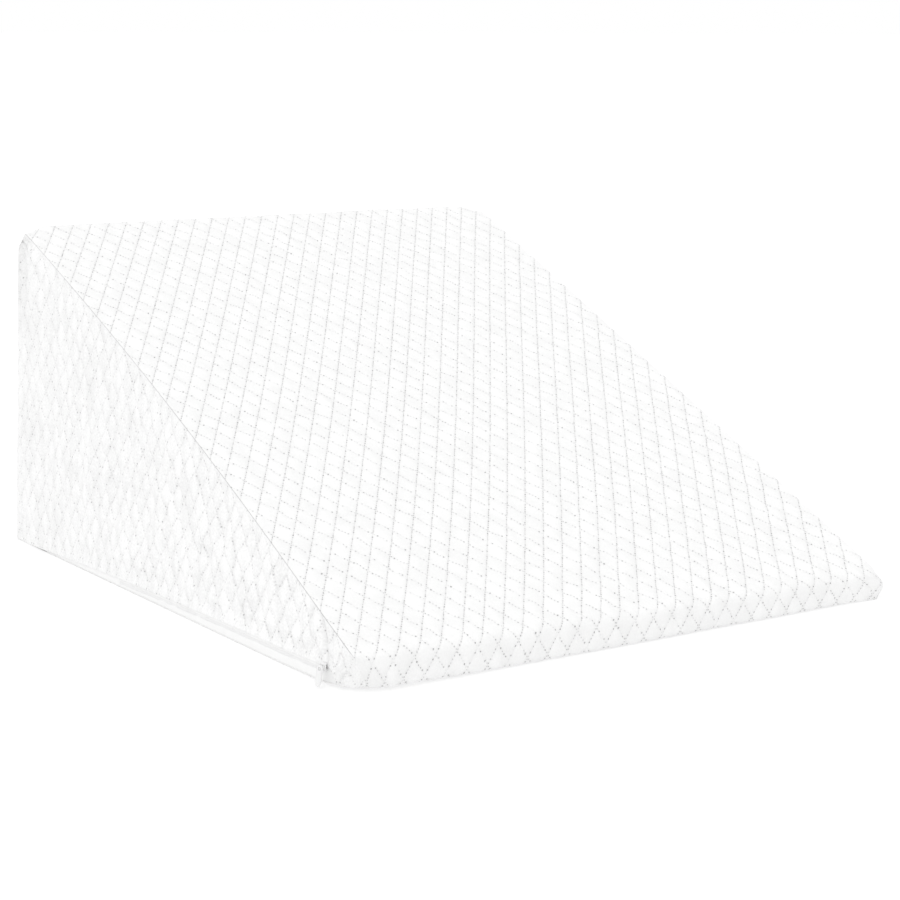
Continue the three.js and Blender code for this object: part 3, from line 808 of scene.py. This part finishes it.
def hem_height(y):
    """Height of the left panel's hem: the band's height, rising from the floor at its front end."""
    t = ramp(y, *BAND_OPENS)
    return band_height(y) * t * t * (3 - 2 * t)


def panel_outline(zipped):
    """The panel's edge in its own plane, at steps of 1 mm or so: length, y, z and the way inwards."""
    s = np.linspace(RIDGE_AT, RIDGE_AT + AROUND, 1600, endpoint=False)
    y, z = section_point(s)
    y = y - corner_wrap(s) - seam_closing(s)
    if zipped:
        z = np.maximum(z, hem_height(y))
    gap_y, gap_z = np.roll(y, -2) - np.roll(y, 2), np.roll(z, -2) - np.roll(z, 2)
    length = np.hypot(gap_y, gap_z)
    return s, y, z, -gap_z / length, gap_y / length


def edge_size(s, zipped):
    """Size of the roll of the panel's edge: the seam's, and less along the hem over the zip."""
    hem = ramp(s, TOE_AT, TOE_AT + 20) * ramp(s, HEEL_AT, HEEL_AT - 20)
    return seam_size(s) * (1 - HEM_FLAT * hem * zipped)


def panel_edges(outline, inset, zipped):
    """The panel's base, slope, nose and back edges as points, moved in by inset times the roll's size."""
    stretches = (
        (TOE_AT, HEEL_AT, PANEL_ALONG),
        (CREASE_AT, RIDGE_AT, PANEL_ALONG),
        (TOE_AT, CREASE_AT, PANEL_UP),
        (HEEL_AT, RIDGE_AT + AROUND, PANEL_UP),
    )
    edges = []
    for start, end, count in stretches:
        at = np.linspace(start, end, count)
        y, z, in_y, in_z = (np.interp(at, outline[0], values, period=AROUND) for values in outline[1:])
        moved = inset * edge_size(np.mod(at, AROUND), zipped)
        edges.append(np.stack([y + in_y * moved, z + in_z * moved], -1))
    return edges


def panel_sheet(outline, insets, zipped):
    """The panel's flat points, and the numbers of those on its edge and on each ring of the roll round it.

    The grid fills the space between nose, base, back and slope by Coons' rule: the sum of the two straight
    blends between opposite edges, less the blend of the corners.
    """
    base, slope, nose, back = panel_edges(outline, insets[0], zipped)
    u = np.linspace(0, 1, PANEL_ALONG)[None, :, None]
    v = np.linspace(0, 1, PANEL_UP)[:, None, None]
    grid = (1 - v) * base[None] + v * slope[None] + (1 - u) * nose[:, None] + u * back[:, None]
    grid = grid - (1 - u) * ((1 - v) * base[0] + v * slope[0]) - u * ((1 - v) * base[-1] + v * slope[-1])
    rings = []
    for inset in insets[1:]:
        base, slope, nose, back = panel_edges(outline, inset, zipped)
        rings.append(np.vstack([base, back[1:], slope[-2::-1], nose[-2:0:-1]]))
    ids = np.arange(PANEL_UP * PANEL_ALONG).reshape(PANEL_UP, PANEL_ALONG)
    border = np.r_[ids[0], ids[1:, -1], ids[-1, -2::-1], ids[-2:0:-1, 0]]
    ring_ids = ids.size + np.arange(len(rings) * len(border)).reshape(len(rings), -1)
    return np.vstack([grid.reshape(-1, 2), *rings]), np.vstack([border, ring_ids])


def edge_distance(points, outline):
    """Distance of each point from every second point of the outline, and the nearest one's number.

    It is worked out in slices to save memory.
    """
    found = []
    for part in np.array_split(points, 60):
        squared = ((part[:, None, :] - outline[None, ::2, :]) ** 2).sum(-1)
        found.append(np.stack([np.sqrt(squared.min(1)), squared.argmin(1)]))
    return np.hstack(found)


def cell_height(a, b):
    """How high each diamond stands, 0.4 to 1.6, by a hash of its two whole numbers."""
    hashed = np.sin(np.floor(a + b) * 12.9898 + np.floor(a - b) * 78.233) * 43758.5453
    return 0.4 + 1.2 * (hashed - np.floor(hashed))


def crease_line(y, z, width, behind=0.0):
    """A bell curve, about width wide, across a bent line from seam to slider or that far behind it."""
    up = z - CREASE_FOOT[1]
    line = CREASE_FOOT[0] + 0.24 * up + 0.0015 * up**2 + behind
    return np.exp(-(((y - line) / width) ** 2)) * ramp(z, 6, 14) * ramp(z, 62, 50)


def side_folds(y, z, seed, zipped):
    """Depth of a side panel's folds, in millimetres.

    Long soft waves, short upright ones, pleats that fan out from the corner of the ridge, and a broad fold
    with a swelling before it, down beside the back edge from the ridge. On the zipped side also one crease
    that runs down from the seam to the slider with a swelling behind it, and low puffs over the hem.
    """
    long_waves = WAVE_DEPTH * soft_waves(y, z * 0.7, seed)
    short_waves = SHORT_WAVE_DEPTH * soft_waves(y, z * 0.22, seed + 20, 9, 42.0, 15.0)
    from_y, from_z = DEPTH - BACK_LEAN - 6 - y, RIDGE_HEIGHT - 9 - z
    away = np.hypot(from_y, from_z)
    angle = np.arctan2(from_y, from_z)
    pleats = PLEAT_DEPTH * np.cos(angle * PLEAT_COUNT + 0.8 * np.sin(angle * 6))
    pleats = pleats * np.exp(-away / 45.0) * ramp(away, 0, 9)
    from_fold = y - BACK_FOLD_Y + 0.10 * (z - 260)
    back_fold = BACK_FOLD_DEPTH * np.exp(-((from_fold / 8) ** 2))
    back_fold = back_fold - BACK_FOLD_SWELL * np.exp(-(((from_fold + 22) / 22) ** 2))
    folds = pleats - long_waves - short_waves + back_fold * ramp(z, *BACK_FOLD_Z)
    if zipped:
        folds = folds + CREASE_DEPTH * crease_line(y, z, 2.6) - CREASE_SWELL * crease_line(y, z, 4.4, 7.0)
        puffs = LOW_PUFFS * np.sin(y * (2 * math.pi / 26.0) + 1.2 * np.sin(y / 31.0))
        folds = folds + puffs * np.exp(-z / 30.0) * np.exp(-y / 260.0)
    return folds


def panel_swell(zipped, seed):
    """The swelling of a side panel between slope, back and hem."""
    y = np.arange(0, DEPTH, CLOTH_CELL)[None, :]
    z = np.arange(0, RIDGE_HEIGHT, CLOTH_CELL)[:, None]
    slope = NOSE_HEIGHT + (RIDGE_HEIGHT - NOSE_HEIGHT) * y / (DEPTH - BACK_LEAN)
    hem = band_height(y) if zipped else 0 * y
    inside = (z < slope - 2) & (z > hem + 2) & (y > 2) & (y < DEPTH - 6)
    return pressed_cloth(inside, hold=0.2, slack=0.03, seed=seed)


PANEL_SWELL = {True: panel_swell(True, 42), False: panel_swell(False, 43)}


def panel_depth(sheet, rolled, from_edge, place, seed, zipped):
    """Depth of the panel's points under the flat side.

    Channels between the diamonds, the cloth's swelling, folds, and small puckers along the seam fade out at
    the edge, and the roll's own depth comes on top. Past FOLD_SOFT the sum bends off, so that no fold gets to
    the panel's back.
    """
    y, z = sheet.T
    a, b = y / KNIT_ACROSS, z / PANEL_KNIT_UP
    calm = ramp(from_edge, SEAM_REACH, SEAM_REACH + PANEL_CALM)
    loose = 1 - TAUT_BACK * ramp(y, 0, DEPTH) ** 1.3
    swell = np.clip(cloth_at(PANEL_SWELL[zipped], y, z), *PANEL_SWELL_MOST) * loose
    puckers = PANEL_PUCKER * np.sin(place * 1.1 + 1.6 * np.sin(place / 5.0)) * np.exp(-from_edge / 8.0)
    depth = PANEL_RELIEF * loose * cell_height(a, b) * (1 - puff(a, b)) * calm
    depth = depth + rolled + (side_folds(y, z, seed, zipped) - swell) * calm + puckers * calm
    return np.where(depth > FOLD_SOFT, FOLD_SOFT * (1 + np.tanh(depth / FOLD_SOFT - 1)), depth)


def panel_shade(sheet, in_roll, zipped):
    """Painted shade of each point, by how deep in a seam or a fold it is: the roll, the gathered strip at the
    back and the crease.
    """
    y, z = sheet.T
    shade = in_roll + GATHERED_SHADE * ramp(y, BACK_FOLD_Y - 20, BACK_FOLD_Y) * ramp(z, *BACK_FOLD_Z)
    return shade + CREASE_SHADE * crease_line(y, z, 1.6) if zipped else shade


def panel_faces(rings, back):
    """The panel's faces: the grid, the roll that goes round it, and a plain back between the points back."""
    grid = grid_quads(PANEL_UP, PANEL_ALONG).reshape(-1, 4)
    rings = np.vstack([rings, back])
    ahead = np.roll(rings, -1, axis=1)
    roll = np.stack([ahead[:-1], ahead[1:], rings[1:], rings[:-1]], -1).reshape(-1, 4)
    turn = PANEL_ALONG + PANEL_UP - 2
    low, high = back[:PANEL_ALONG], back[turn:turn + PANEL_ALONG][::-1]
    plain = np.stack([low[:-1], low[1:], high[1:], high[:-1]], -1)
    front_fan = np.r_[high[0], back[turn + PANEL_ALONG:], low[0]]
    back_fan = np.r_[low[-1], back[PANEL_ALONG:turn], high[-1]]
    fans = []
    for fan in (front_fan, back_fan):
        fans.append(np.stack([np.full(len(fan) - 2, fan[0]), fan[1:-1], fan[2:]], -1))
    return [grid, roll, plain, *fans]


def side_cover(name, side, zipped, seed):
    """A side panel as a closed sheet: a grid inside its edge, the edge's roll in rings, and a plain back.

    Its flat points sink in by their depth, and are wrapped round the nose's corner and on to the soft side.
    """
    turned = SEAM_TURN * np.linspace(1, 0, ROLL_STEPS)
    insets, drops = seam_roll(turned)
    outline = panel_outline(zipped)
    sheet, rings = panel_sheet(outline, insets, zipped)
    from_edge, place = edge_distance(sheet, np.stack(outline[1:3], -1))
    nearest = np.mod(outline[0][2 * place.astype(int)], AROUND)
    count = rings.shape[1]
    flat = np.zeros(PANEL_UP * PANEL_ALONG)
    rolled = np.r_[flat, np.repeat(drops[1:], count)] * edge_size(nearest, zipped)
    depth = panel_depth(sheet, rolled, from_edge, place, seed, zipped)
    # Painted shade deep in the roll, none down the nose, and full on the plain back.
    in_roll = np.r_[flat, np.repeat((1 - turned[1:] / SEAM_TURN) ** 2, count)] * (1 - seam_on_nose(nearest))
    shade = np.r_[panel_shade(sheet, in_roll, zipped), np.ones(count)]
    depth = np.r_[depth, rolled[rings[-1]] + HIDDEN]
    faces = panel_faces(rings, len(sheet) + np.arange(count))
    sheet = np.vstack([sheet, sheet[rings[-1]]])
    x, deep, high = unwrap(sheet[:, 0], sheet[:, 1], depth)
    if side > 0:
        faces = [face[:, ::-1] for face in faces]
    uv = sheet / (KNIT_ACROSS, PANEL_KNIT_UP)
    maps = [uv[face].reshape(-1, 2) for face in faces]
    return cloth_piece(name, soften(-side * x, deep, high), faces, maps, shade, panel_knit)


for name, side, zipped, seed in (("side_cover_left", -1, True, 11), ("side_cover_right", 1, False, 12)):
    side_piece = side_cover(name, side, zipped, seed)
    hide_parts("side_panel_left" if side < 0 else "side_panel_right")

# Zip tape: a strip of narrow white twill, sewn under the hem of the left panel and to the wrap at the floor.
# It lies nearly flush with the panel and covers the zip along the low edge.
TAPE_FRONT = 20.0
TAPE_BACK = 560.0
TAPE_FINE = 48
TAPE_WAVY = 0.35
TAPE_WHITE = (0.92, 0.92, 0.918)
TAPE_SHADE = (0.66, 0.66, 0.66)
# Each row of the tape's section: part of the band's height, millimetres above that, and depth under the side.
TAPE_ROWS = np.array([
    (0.0, 0.35, 1.7), (0.0, 0.45, 0.9), (0.0, 0.9, 0.45), (0.25, 0.7, 0.35), (0.5, 0.4, 0.35),
    (0.8, 0.0, 0.4), (1.0, -0.4, 0.45), (1.0, 0.3, 0.6), (1.0, 1.0, 1.1), (1.0, 2.4, 2.0),
    (1.0, 2.5, 2.9), (0.5, 0.4, 2.9), (0.0, 0.35, 2.9),
])


def tape_material():
    """White twill: slanting ribs 0.9 mm apart, crossed by finer threads, and a row of stitches low down, with
    painted shade in its troughs and folds.
    """
    material, shader = new_material("zip tape twill")
    wire = Wire(material.node_tree)
    knit = wire.node("ShaderNodeUVMap", {"uv_map": "knit"})
    along = wire.node("ShaderNodeSeparateXYZ", None, {0: knit}, 0)
    up = wire.node("ShaderNodeSeparateXYZ", None, {0: knit}, 1)
    fold = wire.node("ShaderNodeAttribute", {"attribute_name": "fold"}, output=2)
    ribs = (along * 1.1 + up * 0.7).wave()
    threads = (up * 2.6).wave()
    cloudy = knit.noise(0.06, 3.0)
    stitch = 1 - abs((along / 2.6).off_whole()).step(0.28, 0.36)
    rows = 1 - abs(up - 1.9).step(0.15, 0.4)
    stitches = stitch * rows
    # Painted shade: the troughs between ribs and threads, the gaps between stitches and, by fold, the tape's
    # folds. cloudy is random tone.
    shade = (1 - ribs) * 0.08 + (1 - threads) * 0.04 + cloudy * 0.10 + fold * 0.5 + (1 - stitch) * rows * 0.15
    connect(shader, "Base Color", shade.tint(TAPE_WHITE, TAPE_SHADE))
    height = ribs * 0.07 + threads * 0.03 + stitches * 0.25
    bump = wire.node("ShaderNodeBump", None, {"Strength": 1.0, "Distance": MM, "Height": height})
    connect(shader, "Normal", bump)
    shader.inputs["Roughness"].default_value = 0.8
    shader.inputs["Specular IOR Level"].default_value = 0.3
    return material


def closed_strip(name, y, part, above, depth, fold, material):
    """A closed strip along the left side: its section's rows, carried along y and mapped on to the soft side.

    Row k lies at part[k] of the hem's height and above[k] over that, depth[k] under the side's surface. The
    last row joins the first, and each end is closed by a fan.
    """
    hem = hem_height(y)[:, None]
    z = part * hem + above
    deep = depth + 0 * z
    yy = y[:, None] + 0 * z
    points = soften(-SIDE_X + deep, yy, z).reshape(-1, 3)
    rows = len(part)
    ids = np.arange(len(y) * rows).reshape(len(y), rows)
    ahead = np.roll(ids, -1, axis=1)
    quads = np.stack([ids[:-1], ahead[:-1], ahead[1:], ids[1:]], -1).reshape(-1, 4)
    ends = []
    for ring, flip in ((ids[0], True), (ids[-1], False)):
        fan = np.stack([np.full(rows - 2, ring[0]), ring[1:-1], ring[2:]], -1)
        ends.append(fan[:, ::-1] if flip else fan)
    uv = np.stack([yy, z], -1).reshape(-1, 2)
    faces = [quads, *ends]
    folds = (fold + 0 * z).ravel()
    return cloth_piece(name, points, faces, [uv[face].reshape(-1, 2) for face in faces], folds, material)


def zip_tape_strip():
    """The tape: its section in TAPE_FINE rows, carried along in steps of 1 mm, with a slight waviness."""
    y = np.arange(TAPE_FRONT, TAPE_BACK, 1.0)
    at = np.linspace(0, len(TAPE_ROWS) - 1, TAPE_FINE)
    number = np.arange(len(TAPE_ROWS))
    part, above, depth = (np.interp(at, number, TAPE_ROWS[:, k]) for k in range(3))
    outer = ramp(np.abs(at - 4), 3, 0)
    wavy = TAPE_WAVY * soft_waves(y[:, None], above * 0, 31, 9, 60.0, 14.0) * outer
    # Painted shade under the hem and along the tape's lowest, tucked-in rows.
    fold = np.where((at > 7) & (at < 10), 0.2, 0.0) + np.where(at < 1, 0.3, 0.0)
    tape = closed_strip("zip_tape_strip", y, part, above, depth + wavy, fold, tape_material())
    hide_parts("zip_tape")


zip_tape_strip()

# Zip teeth: a closed coil of fine white plastic, laid as a flat row of slanting turns in the middle of the
# tape. It runs from the slider to where the band gets low.
COIL_FRONT = 46.0
COIL_BACK = 400.0
COIL_PITCH = 1.27
COIL_HALF = 1.35
COIL_DROP = 2.6
COIL_RISE = 0.4
PLASTIC_WHITE = (0.85, 0.85, 0.85)
PLASTIC_SHADE = (0.72, 0.72, 0.72)


def plastic_material():
    """White moulded plastic, half glossy, with a faint unevenness in colour, gloss and surface."""
    material, shader = new_material("zip plastic")
    wire = Wire(material.node_tree)
    place = wire.node("ShaderNodeTexCoord", output=3)
    fine = place.noise(900.0, 3.0)
    broad = place.noise(160.0, 1.0)
    connect(shader, "Base Color", (broad * 0.5 + fine * 0.2).tint(PLASTIC_WHITE, PLASTIC_SHADE))
    connect(shader, "Roughness", fine * 0.15 + 0.3)
    bump = wire.node("ShaderNodeBump", None, {"Strength": 0.3, "Distance": 0.1 * MM, "Height": fine})
    connect(shader, "Normal", bump)
    return material


zip_plastic = plastic_material()


def zip_coil():
    """The coil: at v from -1 to 1 across it, ribs that slant from the middle to both edges and fade there."""
    y = np.arange(COIL_FRONT, COIL_BACK, COIL_PITCH / 6)
    v = np.linspace(-1, 1, 9)
    slant = y[:, None] / COIL_PITCH + 0.35 * np.abs(v)
    rib = 0.5 + 0.5 * np.cos(2 * math.pi * slant)
    rise = COIL_RISE * (0.25 + 0.75 * rib) * np.sqrt(1 - 0.9 * v**2) * (1 - 0.5 * np.exp(-((v / 0.12) ** 2)))
    outer_depth = 0.35 - rise
    above = np.r_[v * COIL_HALF - COIL_DROP, COIL_HALF - COIL_DROP, -COIL_HALF - COIL_DROP]
    depth = np.hstack([outer_depth, np.full((len(y), 2), 0.9)])
    coil = closed_strip("zip_coil", y, np.ones(len(above)), above, depth, 0.0, zip_plastic)
    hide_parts("zip_teeth")


zip_coil()

# Slider: a small moulded plate with folded edges that grip the coil, and a bridge over it. It is parked at
# the front end, where the hem comes down to the floor.
SLIDER_LONG = 9.0
SLIDER_WIDE = 6.4
SLIDER_BODY = 2.8
SLIDER_BRIDGE = 2.2
BRIDGE_THICK = 0.55
BRIDGE_WIDE = 1.1
BRIDGE_HALF = 3.1
LIP_WIDE = 1.3
slider_box = np.array(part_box("zip_slider"))
SEAT_SHIFT = np.array([0.0, 1.0, 3.0])
SEAT = (np.array([slider_box[1, 0], slider_box[:, 1].mean(), slider_box[:, 2].mean()]) - NOSE_FOOT) / MM
SEAT = SEAT + SEAT_SHIFT


def power(value, exponent):
    """A power that keeps the value's sign."""
    return np.sign(value) * np.abs(value) ** exponent


def rounded_slab(long, wide, low, high, taper, soft):
    """A slab with round corners and edges: a superellipse in plan and in height, narrower towards its end.

    Its points are (along, across, out), with out from low to high. soft is the exponent, small for crisp.
    """
    turn = np.linspace(0, 2 * math.pi, 49)[None, :-1]
    tilt = np.linspace(-math.pi / 2, math.pi / 2, 15)[:, None]
    reach = np.abs(np.cos(tilt)) ** soft
    along = reach * power(np.cos(turn), soft) * long / 2
    across = reach * power(np.sin(turn), soft) * wide / 2 * (1 - taper * (along / long + 0.5))
    out = (low + high) / 2 + power(np.sin(tilt), soft) * (high - low) / 2 + 0 * turn
    return np.stack([along, across, out], -1)


def swept_band(path, wide, thick):
    """A flat rounded band along a path of (along, out): its section is a superellipse across the path."""
    ahead = np.gradient(path, axis=0)
    ahead = ahead / np.hypot(*ahead.T)[:, None]
    turn = np.linspace(0, 2 * math.pi, 21)[:-1]
    across, off = power(np.cos(turn), 0.6) * wide, power(np.sin(turn), 0.6) * thick
    along = path[:, :1] - ahead[:, 1:] * off
    out = path[:, 1:] + ahead[:, :1] * off
    return np.stack([along, across + 0 * along, out], -1)


def hard_piece(name, grids, axes, origin, node, closed_rows=False):
    """A hard piece from grids of points (along, across, out), each closed round and by a face at both ends.

    axes holds the directions of along, across and out as rows. With closed_rows the last row joins the first.
    """
    points, faces, count = [], [], 0
    for grid in grids:
        rows, columns = grid.shape[:2]
        ids = np.arange(rows * columns).reshape(rows, columns) + count
        following = np.roll(ids, -1, axis=0) if closed_rows else ids[1:]
        here = ids if closed_rows else ids[:-1]
        quads = np.stack([here, np.roll(here, -1, 1), np.roll(following, -1, 1), following], -1)
        faces.append(quads.reshape(-1, 4).tolist())
        if not closed_rows:
            faces.append([ids[0, ::-1].tolist(), ids[-1].tolist()])
        points.append(grid.reshape(-1, 3))
        count += rows * columns
    placed = (np.vstack(points) @ np.array(axes) + origin) * MM + NOSE_FOOT
    mesh = bpy.data.meshes.new(name)
    mesh.from_pydata(placed.tolist(), [], [face for part in faces for face in part])
    solid = bmesh.new()
    solid.from_mesh(mesh)
    bmesh.ops.remove_doubles(solid, verts=solid.verts, dist=1e-7)
    bmesh.ops.recalc_face_normals(solid, faces=solid.faces)
    solid.to_mesh(mesh)
    solid.free()
    mesh.polygons.foreach_set("use_smooth", np.ones(len(mesh.polygons), bool))
    mesh.materials.append(zip_plastic)
    piece = bpy.data.objects.new(name, mesh)
    bpy.context.scene.collection.objects.link(piece)
    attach(piece, "root")
    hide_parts(node)


def zip_slider():
    """The slider's plate, its two folded edges and its bridge, an arch of superellipse form."""
    plate = rounded_slab(SLIDER_LONG, SLIDER_WIDE, 1.3, SLIDER_BODY, 0.22, 0.35)
    lips = []
    for side in (-1, 1):
        lip = rounded_slab(SLIDER_LONG * 0.82, LIP_WIDE, 0.2, 2.2, 0.0, 0.45)
        lip[..., 1] += side * (SLIDER_WIDE / 2 - 0.75) * (1 - 0.2 * (lip[..., 0] / SLIDER_LONG + 0.5))
        lips.append(lip)
    arch = np.linspace(0, math.pi, 33)
    top = SLIDER_BODY + SLIDER_BRIDGE - BRIDGE_THICK
    path = np.stack([BRIDGE_HALF * power(np.cos(arch), 0.8), 2.0 + (top - 2.0) * np.sin(arch) ** 0.6], -1)
    bridge = swept_band(path[::-1], BRIDGE_WIDE, BRIDGE_THICK)
    axes = [(0, 1, 0), (0, 0, 1), (-1, 0, 0)]
    hard_piece("zip_slider_body", [plate, *lips, bridge], axes, SEAT, "zip_slider")


zip_slider()

# Puller: a flat moulded tab with a raised rim, round ends and a hole. A small ring joins it to the bridge,
# and it hangs down to the floor.
TAB_LONG = 17.0
TAB_WIDE = 5.6
TAB_SHEET = 1.3
TAB_HOLE = 1.3
TAB_OUT = 3.0
TAB_FORWARD = 0.8
TAB_AHEAD = 3.5
TAB_LEAN = 3.0
TAB_EYE = 0.4
RING_WIRE = 0.35
RING_HALF = 1.5
RING_GRIP = 1.6
RING_SPREAD = 1.6
GAP = 0.3


def puller_axes():
    """Directions along, across and out of the tab, which leans out by TAB_LEAN or more down to the floor."""
    reach = TAB_LONG - TAB_WIDE / 2
    fall = SEAT[2] - GAP
    lean = math.sqrt(max(reach**2 - fall**2, TAB_LEAN**2)) / math.hypot(TAB_OUT, TAB_FORWARD)
    along = np.array([-TAB_OUT * lean, -TAB_FORWARD * lean, -fall])
    along = along / np.linalg.norm(along)
    across = np.cross([0.0, 0.0, 1.0], along)
    across = across / np.linalg.norm(across)
    return np.array([along, across, np.cross(along, across)])


def puller_tab(axes, start):
    """The tab: rings between its hole and its outline, thick at the rims and thin between, over and under."""
    radius = TAB_WIDE / 2
    half_turn = np.linspace(-math.pi / 2, math.pi / 2, 25)
    side = np.linspace(0, TAB_LONG - TAB_WIDE, 25)[1:-1]
    outline = np.vstack([
        np.stack([TAB_LONG - TAB_WIDE + radius * np.cos(half_turn), radius * np.sin(half_turn)], -1),
        np.stack([side[::-1], side * 0 + radius], -1),
        np.stack([-radius * np.cos(half_turn), -radius * np.sin(half_turn)], -1),
        np.stack([side, side * 0 - radius], -1),
    ])
    middle = np.array([TAB_EYE, 0.0])
    away = outline - middle
    hole = middle + TAB_HOLE * away / np.hypot(*away.T)[:, None]
    part = np.array([0.0, 0.02, 0.08, 0.2, 0.45, 0.7, 0.86, 0.94, 0.985, 1.0])
    half = TAB_SHEET / 2 * np.array([0.0, 0.6, 0.9, 1.0, 0.62, 0.62, 0.95, 1.0, 0.7, 0.0])
    across = np.r_[part, part[-2:0:-1]]
    lift = np.r_[half, -half[-2:0:-1]] + TAB_SHEET / 2
    flat = hole[None] + (outline - hole)[None] * across[:, None, None]
    tab = np.concatenate([flat, lift[:, None, None] + 0 * flat[..., :1]], -1)
    hard_piece("zip_puller_tab", [tab], axes, start, "zip_puller", closed_rows=True)


def puller_ring(axes, start):
    """The ring: a round wire carried round a long circle from under the bridge to the tab's hole."""
    ring_turn = np.linspace(0, 2 * math.pi, 33)[:-1]
    tube_turn = np.linspace(0, 2 * math.pi, 11)[:-1]
    far = start + axes[0] * TAB_EYE + axes[2] * TAB_SHEET / 2
    near = SEAT + np.array([-(SLIDER_BODY + SLIDER_BRIDGE - RING_GRIP), 0.0, 0.0])
    long = np.linalg.norm(far - near) / 2
    ahead = (far - near) / (2 * long)
    beside = np.cross(ahead, [0.0, 1.0, 0.0])
    beside = beside / np.linalg.norm(beside)
    out = RING_WIRE * np.sin(tube_turn)[None, :] + 0 * ring_turn[:, None]
    reach = 1 + RING_WIRE * np.cos(tube_turn)[None, :] / RING_SPREAD
    ring = np.stack([
        (long + 0.5) * np.cos(ring_turn)[:, None] * reach,
        RING_HALF * np.sin(ring_turn)[:, None] * reach,
        out,
    ], -1)
    ring_axes = [ahead, beside, np.cross(ahead, beside)]
    hard_piece("zip_puller_ring", [ring], ring_axes, (near + far) / 2, "zip_puller", closed_rows=True)


def zip_puller():
    """Hangs the tab and its ring before the bridge, clear of it by a gap and a little towards the nose."""
    axes = puller_axes()
    inwards = TAB_WIDE / 2 * math.hypot(axes[0][0], axes[1][0]) + max(0.0, axes[2][0] * TAB_SHEET)
    start = SEAT + np.array([-(SLIDER_BODY + SLIDER_BRIDGE + GAP + inwards), -TAB_AHEAD, 0.0])
    puller_tab(axes, start)
    puller_ring(axes, start)


zip_puller()
